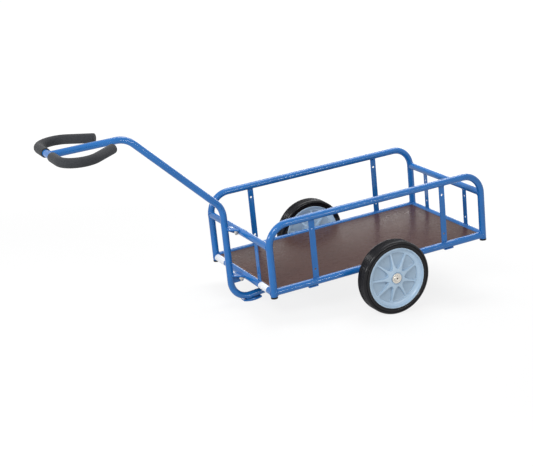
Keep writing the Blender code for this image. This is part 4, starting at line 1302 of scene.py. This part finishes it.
def arm_end(sign, beyond=0.0):
    reach = HANDLE_BEND_R * math.tan(HANDLE_TURN / 2) + HANDLE_ARM + beyond
    x = HANDLE_X - reach * math.sin(HANDLE_TURN)
    return x, sign * (handle_corner() + reach * math.cos(HANDLE_TURN)), HANDLE_Z


def add_handle():
    corner = handle_corner()
    corners = [arm_end(-1), (HANDLE_X, -corner, HANDLE_Z), (HANDLE_X, corner, HANDLE_Z), arm_end(1)]
    path = rounded_path(corners, [HANDLE_BEND_R, HANDLE_BEND_R])
    add_fine("handle_loop", hollow_tube(path, (0, 0, 1)))
    for sign in (1, -1):
        add_fine(f"grip_{side_name(sign)}", grip(sign), "grip_foam", sharp=60)


def grip(sign):
    """Foam sleeve with rolled ends, from beside the drawbar round the bend and over the arm's end."""
    corner = (HANDLE_X, sign * handle_corner(), HANDLE_Z)
    start = Vector((HANDLE_X, sign * GRIP_START_Y, HANDLE_Z))
    stop = Vector(arm_end(sign, GRIP_END_THICKNESS))
    path = rounded_path([start, corner, stop], [HANDLE_BEND_R])
    ends = []
    for tip, inner, edge in ((start, path[1], GRIP_START_EDGE), (stop, path[-2], GRIP_END_EDGE)):
        inward = (inner - tip).normalized()
        roll = []
        for angle in quarter(GRIP_ROLL_STEPS):
            spot = tip + inward * (edge * (1 - math.cos(angle)))
            roll.append((spot, GRIP_R - edge * (1 - math.sin(angle))))
        ends.append(roll)
    points = ends[0] + [(point, GRIP_R) for point in path[1:-1]] + ends[1][::-1]
    spots = [point for point, radius in points]
    bm = bmesh.new()
    up = Vector((0, 0, 1))
    rings = [tube_ring(bm, spots, i, up, points[i][1], TUBE_SIDES) for i in range(len(points))]
    join_run(bm, rings)
    lining = [start] + path[1:-1] + [Vector(arm_end(sign, SEAT_GAP))]
    bore = [tube_ring(bm, lining, i, up, TUBE_R + SEAT_GAP, TUBE_SIDES) for i in range(len(lining))]
    join_run(bm, bore)
    join_rings(bm, rings[0], bore[0])
    bm.faces.new(rings[-1])
    bm.faces.new(bore[-1])
    return bm


# Weld beads

def resample(points, step, closed):
    """Points spread evenly along a line, a short step apart."""
    line = [Vector(p) for p in points]
    if closed:
        line.append(line[0])
    lengths = [0.0]
    for before, after in zip(line, line[1:]):
        lengths.append(lengths[-1] + (after - before).length)
    count = max(BEAD_LEAST_STEPS, round(lengths[-1] / step))
    found = []
    spot = 0
    for index in range(count + (0 if closed else 1)):
        wanted = lengths[-1] * index / count
        while spot < len(lengths) - 2 and lengths[spot + 1] < wanted:
            spot += 1
        share = (wanted - lengths[spot]) / max(lengths[spot + 1] - lengths[spot], 1e-9)
        found.append(line[spot].lerp(line[spot + 1], share))
    return found


def add_bead(bm, points, closed=False):
    """A rippled weld bead along a joint; an open one tapers at its ends."""
    line = resample(points, BEAD_STEP, closed)
    count = len(line)
    rings = []
    side = None
    for index, point in enumerate(line):
        before = line[index - 1] if closed or index else line[0]
        after = line[(index + 1) % count] if closed or index < count - 1 else line[-1]
        along = (after - before).normalized()
        side = (side - along * side.dot(along)).normalized() if side else along.orthogonal().normalized()
        up = along.cross(side)
        size = BEAD_R * (1 + BEAD_RIPPLE_SHARE * math.sin(2 * math.pi * index * BEAD_STEP / BEAD_RIPPLE))
        if not closed:
            nearest = min(index, count - 1 - index) * BEAD_STEP / BEAD_R
            size *= math.sqrt(max(BEAD_TIP_SHARE, 1 - max(0.0, 1 - nearest) ** 2))
        spots = [point + (side * math.cos(a) + up * math.sin(a)) * size for a in around(BEAD_SIDES)]
        rings.append([bm.verts.new(spot) for spot in spots])
    join_run(bm, rings)
    if closed:
        first = rings[0][0].co
        nearest = min(range(BEAD_SIDES), key=lambda k: (rings[-1][k].co - first).length)
        join_rings(bm, rings[-1][nearest:] + rings[-1][:nearest], rings[0])
    else:
        bm.faces.new(rings[0])
        bm.faces.new(rings[-1])


def coped_seam(reach, end, place, growth=1 + SEAM_OFFSET / TUBE_R):
    """The line where a coped bar's outer skin meets the tube it ends on."""
    seam = []
    for angle in around(TUBE_SIDES):
        y = TUBE_R * math.cos(angle)
        z = TUBE_R * math.sin(angle)
        seam.append(place @ Vector((end * reach(y, z), y * growth, z * growth)))
    return seam


def add_welds():
    """Beads at the frame's joints, as one piece, and at the drawbar's, as another."""
    bm = bmesh.new()
    for name, reach, place in bars():
        for end in (1, -1):
            add_bead(bm, coped_seam(reach, end, place), closed=True)
    for name, place, height, insets in posts(0):
        add_post_welds(bm, place, height / 2)
    for sign in (1, -1):
        add_under_welds(bm, sign * LEG_Y)
    add_piece("frame_welds", bm, "blue_paint", sharp=60)
    bm = bmesh.new()
    seam = coped_seam(lambda y, z: HANDLE_X - saddle(z), 1, at(0, 0, HANDLE_Z), HANDLE_SEAM_GROWTH)
    add_bead(bm, seam, closed=True)
    for name, bar_z, rise, web_at_tube, web_at_bar in GUSSETS:
        add_gusset_welds(bm, bar_z, rise)
    add_skid_welds(bm)
    add_piece("drawbar_welds", bm, "blue_paint", sharp=60)


def add_post_welds(bm, place, half_height):
    """Beads along both faces of a post's two ends."""
    offset = POST_THICKNESS / 2 + FILLET_OFFSET
    height = half_height + TUBE_R - math.sqrt(TUBE_R ** 2 - offset ** 2)
    for end in (1, -1):
        for face in (1, -1):
            corners = [(x, end * height, face * offset) for x in (-POST_WIDTH / 2, POST_WIDTH / 2)]
            add_bead(bm, [place @ Vector(corner) for corner in corners])


def add_under_welds(bm, rail_y):
    """Beads under one side rail: along its axle bracket and across its deck supports."""
    top = support_top_z()
    offset = BRACKET_THICKNESS / 2 + FILLET_OFFSET
    z = (SIDE_RAIL_Z - math.sqrt(TUBE_R ** 2 - offset ** 2) + top) / 2
    for y in (rail_y + offset, rail_y - offset):
        add_bead(bm, [(-BRACKET_TOP_HALF, y, z), (BRACKET_TOP_HALF, y, z)])
    for end in (1, -1):
        for edge in (1, -1):
            x = end * SUPPORT_X + edge * SUPPORT_WIDTH / 2
            add_bead(bm, [(x, rail_y - TUBE_R / 2, top), (x, rail_y + TUBE_R / 2, top)])


def add_gusset_welds(bm, bar_z, rise):
    """Beads where the plate's top meets the upright and the bar."""
    fall = math.tan(GUSSET_SLOPE)
    rear_z = bar_z + rise
    seam = arc((DRAWBAR_X, 0), TUBE_R + SEAM_OFFSET, math.pi / 2, 1.5 * math.pi, NOTCH_STEPS)
    add_bead(bm, [(x, y, rear_z + (x - LEG_X) * fall + SEAM_OFFSET) for x, y in seam])
    x = LEG_X + math.sqrt(max(0, (TUBE_R + SEAM_OFFSET) ** 2 - rise ** 2))
    z = rear_z + (x - LEG_X) * fall
    half = GUSSET_HALF_AT_BAR * GUSSET_BEAD_SHARE
    add_bead(bm, [(x, -half, z), (x, half, z)])


def add_skid_welds(bm):
    """A bead along each side of the tube where it lies on the skid's pad."""
    x, z = foot_centre()
    radius = DRAWBAR_FOOT_R + TUBE_R * math.cos(SKID_BEAD_LEAN) + SKID_BEAD_OFFSET
    reach = math.asin(PAD_FRONT_REACH / (DRAWBAR_FOOT_R + TUBE_R))
    line = arc((x, z), radius, 1.5 * math.pi - tail_angle(), 1.5 * math.pi + reach, SKID_BEAD_STEPS)
    for sign in (1, -1):
        y = sign * TUBE_R * math.sin(SKID_BEAD_LEAN)
        add_bead(bm, [(spot_x, y, spot_z) for spot_x, spot_z in line])


def label(start, stop):
    """A thin sheet wrapped round the front lower bar from one side place to another."""
    centre = (LEG_X, FRONT_LOWER_BAR_Z)
    section = arc(centre, TUBE_R + LABEL_THICKNESS, LABEL_FROM, LABEL_TO, LABEL_STEPS)
    section += arc(centre, TUBE_R + LABEL_THICKNESS / 3, LABEL_TO, LABEL_FROM, LABEL_STEPS)
    bm = bmesh.new()
    rings = [[bm.verts.new((x, y, z)) for x, z in section] for y in (start, stop)]
    join_rings(bm, rings[0], rings[1])
    for ring in rings:
        for step in range(LABEL_STEPS):
            bm.faces.new((ring[step], ring[step + 1], ring[-2 - step], ring[-1 - step]))
    return bm


def add_labels():
    for index, (start, stop) in enumerate(LABEL_SPANS):
        add_piece(f"blank_label_{index + 1}", label(start, stop), "label_paper")


# Stage, camera and light

def add_camera():
    """The photograph's view, given in the level cart's frame."""
    flat = math.cos(CAMERA_ELEVATION)
    away = Vector((flat * math.cos(CAMERA_AZIMUTH), flat * math.sin(CAMERA_AZIMUTH),
                   math.sin(CAMERA_ELEVATION)))
    level = Vector((0, 0, 1)).cross(away).normalized()
    right = Matrix.Rotation(-CAMERA_ROLL, 3, -away) @ level
    turn = Matrix((right, away.cross(right), away)).transposed().to_4x4()
    camera = linked("camera", bpy.data.cameras.new("camera"))
    camera.matrix_world = CART @ Matrix.Translation(CAMERA_AIM + away * CAMERA_DISTANCE) @ turn
    camera.data.lens = CAMERA_LENS
    bpy.context.scene.camera = camera


def seen_strength(tree, unseen, seen):
    """One strength for what the camera, a reflection or glass sees, and another for the lighting."""
    path = tree.nodes.new("ShaderNodeLightPath").outputs
    found = path["Is Camera Ray"]
    for name in ("Is Glossy Ray", "Is Transmission Ray"):
        found = calculated(tree, "ShaderNodeMath", "MAXIMUM", found, path[name])["Value"]
    return mapped(tree, found, (0, 1), unseen, seen)


def add_floor():
    """A white floor that keeps the cart's soft shadow."""
    mesh = bpy.data.meshes.new("floor")
    corners = [(x, y, 0) for x, y in rectangle(FLOOR_HALF, FLOOR_HALF)]
    mesh.from_pydata(corners, [], [(0, 1, 2, 3)])
    floor = linked("floor", mesh)
    made, tree, shader = new_finish("floor", roughness=1.0, specular=0.0)
    shader.inputs["Base Color"].default_value = (FLOOR_SHADE, FLOOR_SHADE, FLOOR_SHADE, 1)
    distance = calculated(tree, "ShaderNodeVectorMath", "LENGTH", own_place(tree))["Value"]
    lift = mapped(tree, distance, (FLOOR_NEAR, FLOOR_FAR), FLOOR_LIFT, FLOOR_LIFT_FAR)
    lift.node.interpolation_type = "SMOOTHSTEP"
    bounce = seen_strength(tree, FLOOR_BOUNCE, 1.0)
    glow = tree.nodes.new("ShaderNodeEmission")
    glow.inputs["Color"].default_value = (1, 1, 1, 1)
    shown = calculated(tree, "ShaderNodeMath", "MULTIPLY", lift, bounce)["Value"]
    tree.links.new(shown, glow.inputs["Strength"])
    both = tree.nodes.new("ShaderNodeAddShader")
    tree.links.new(shader.outputs["BSDF"], both.inputs[0])
    tree.links.new(glow.outputs["Emission"], both.inputs[1])
    tree.links.new(both.outputs["Shader"], tree.nodes["Material Output"].inputs["Surface"])
    mesh.materials.append(made)


def add_light():
    """Long soft boxes round the cart, and a world that is white behind it."""
    for name, place, length_axis, length, width, power in SOFT_BOXES:
        lamp = bpy.data.lights.new(name, "AREA")
        lamp.shape = "RECTANGLE"
        lamp.size = length
        lamp.size_y = width
        lamp.energy = power
        holder = linked(name, lamp)
        along = Vector(length_axis)
        back = Vector(place) - LIGHT_AIM
        back = (back - along * back.dot(along)).normalized()
        turn = Matrix((along, back.cross(along), back)).transposed().to_4x4()
        holder.matrix_world = Matrix.Translation(place) @ turn
    world = bpy.data.worlds.new("studio")
    bpy.context.scene.world = world
    world.use_nodes = True
    tree = world.node_tree
    shader = tree.nodes["Background"]
    shader.inputs["Color"].default_value = (1, 1, 1, 1)
    tree.links.new(seen_strength(tree, WORLD_LIGHT, 1.0), shader.inputs["Strength"])


def main():
    add_hoops()
    add_leg_caps()
    add_bars()
    add_posts()
    add_deck()
    add_axle()
    add_wheels()
    add_drawbar()
    for gusset in GUSSETS:
        add_gusset(*gusset)
    add_bolts()
    add_skid()
    add_tail_bracket()
    add_handle()
    add_welds()
    add_labels()
    add_floor()
    add_camera()
    add_light()
    bpy.context.scene.view_settings.view_transform = "Standard"


main()
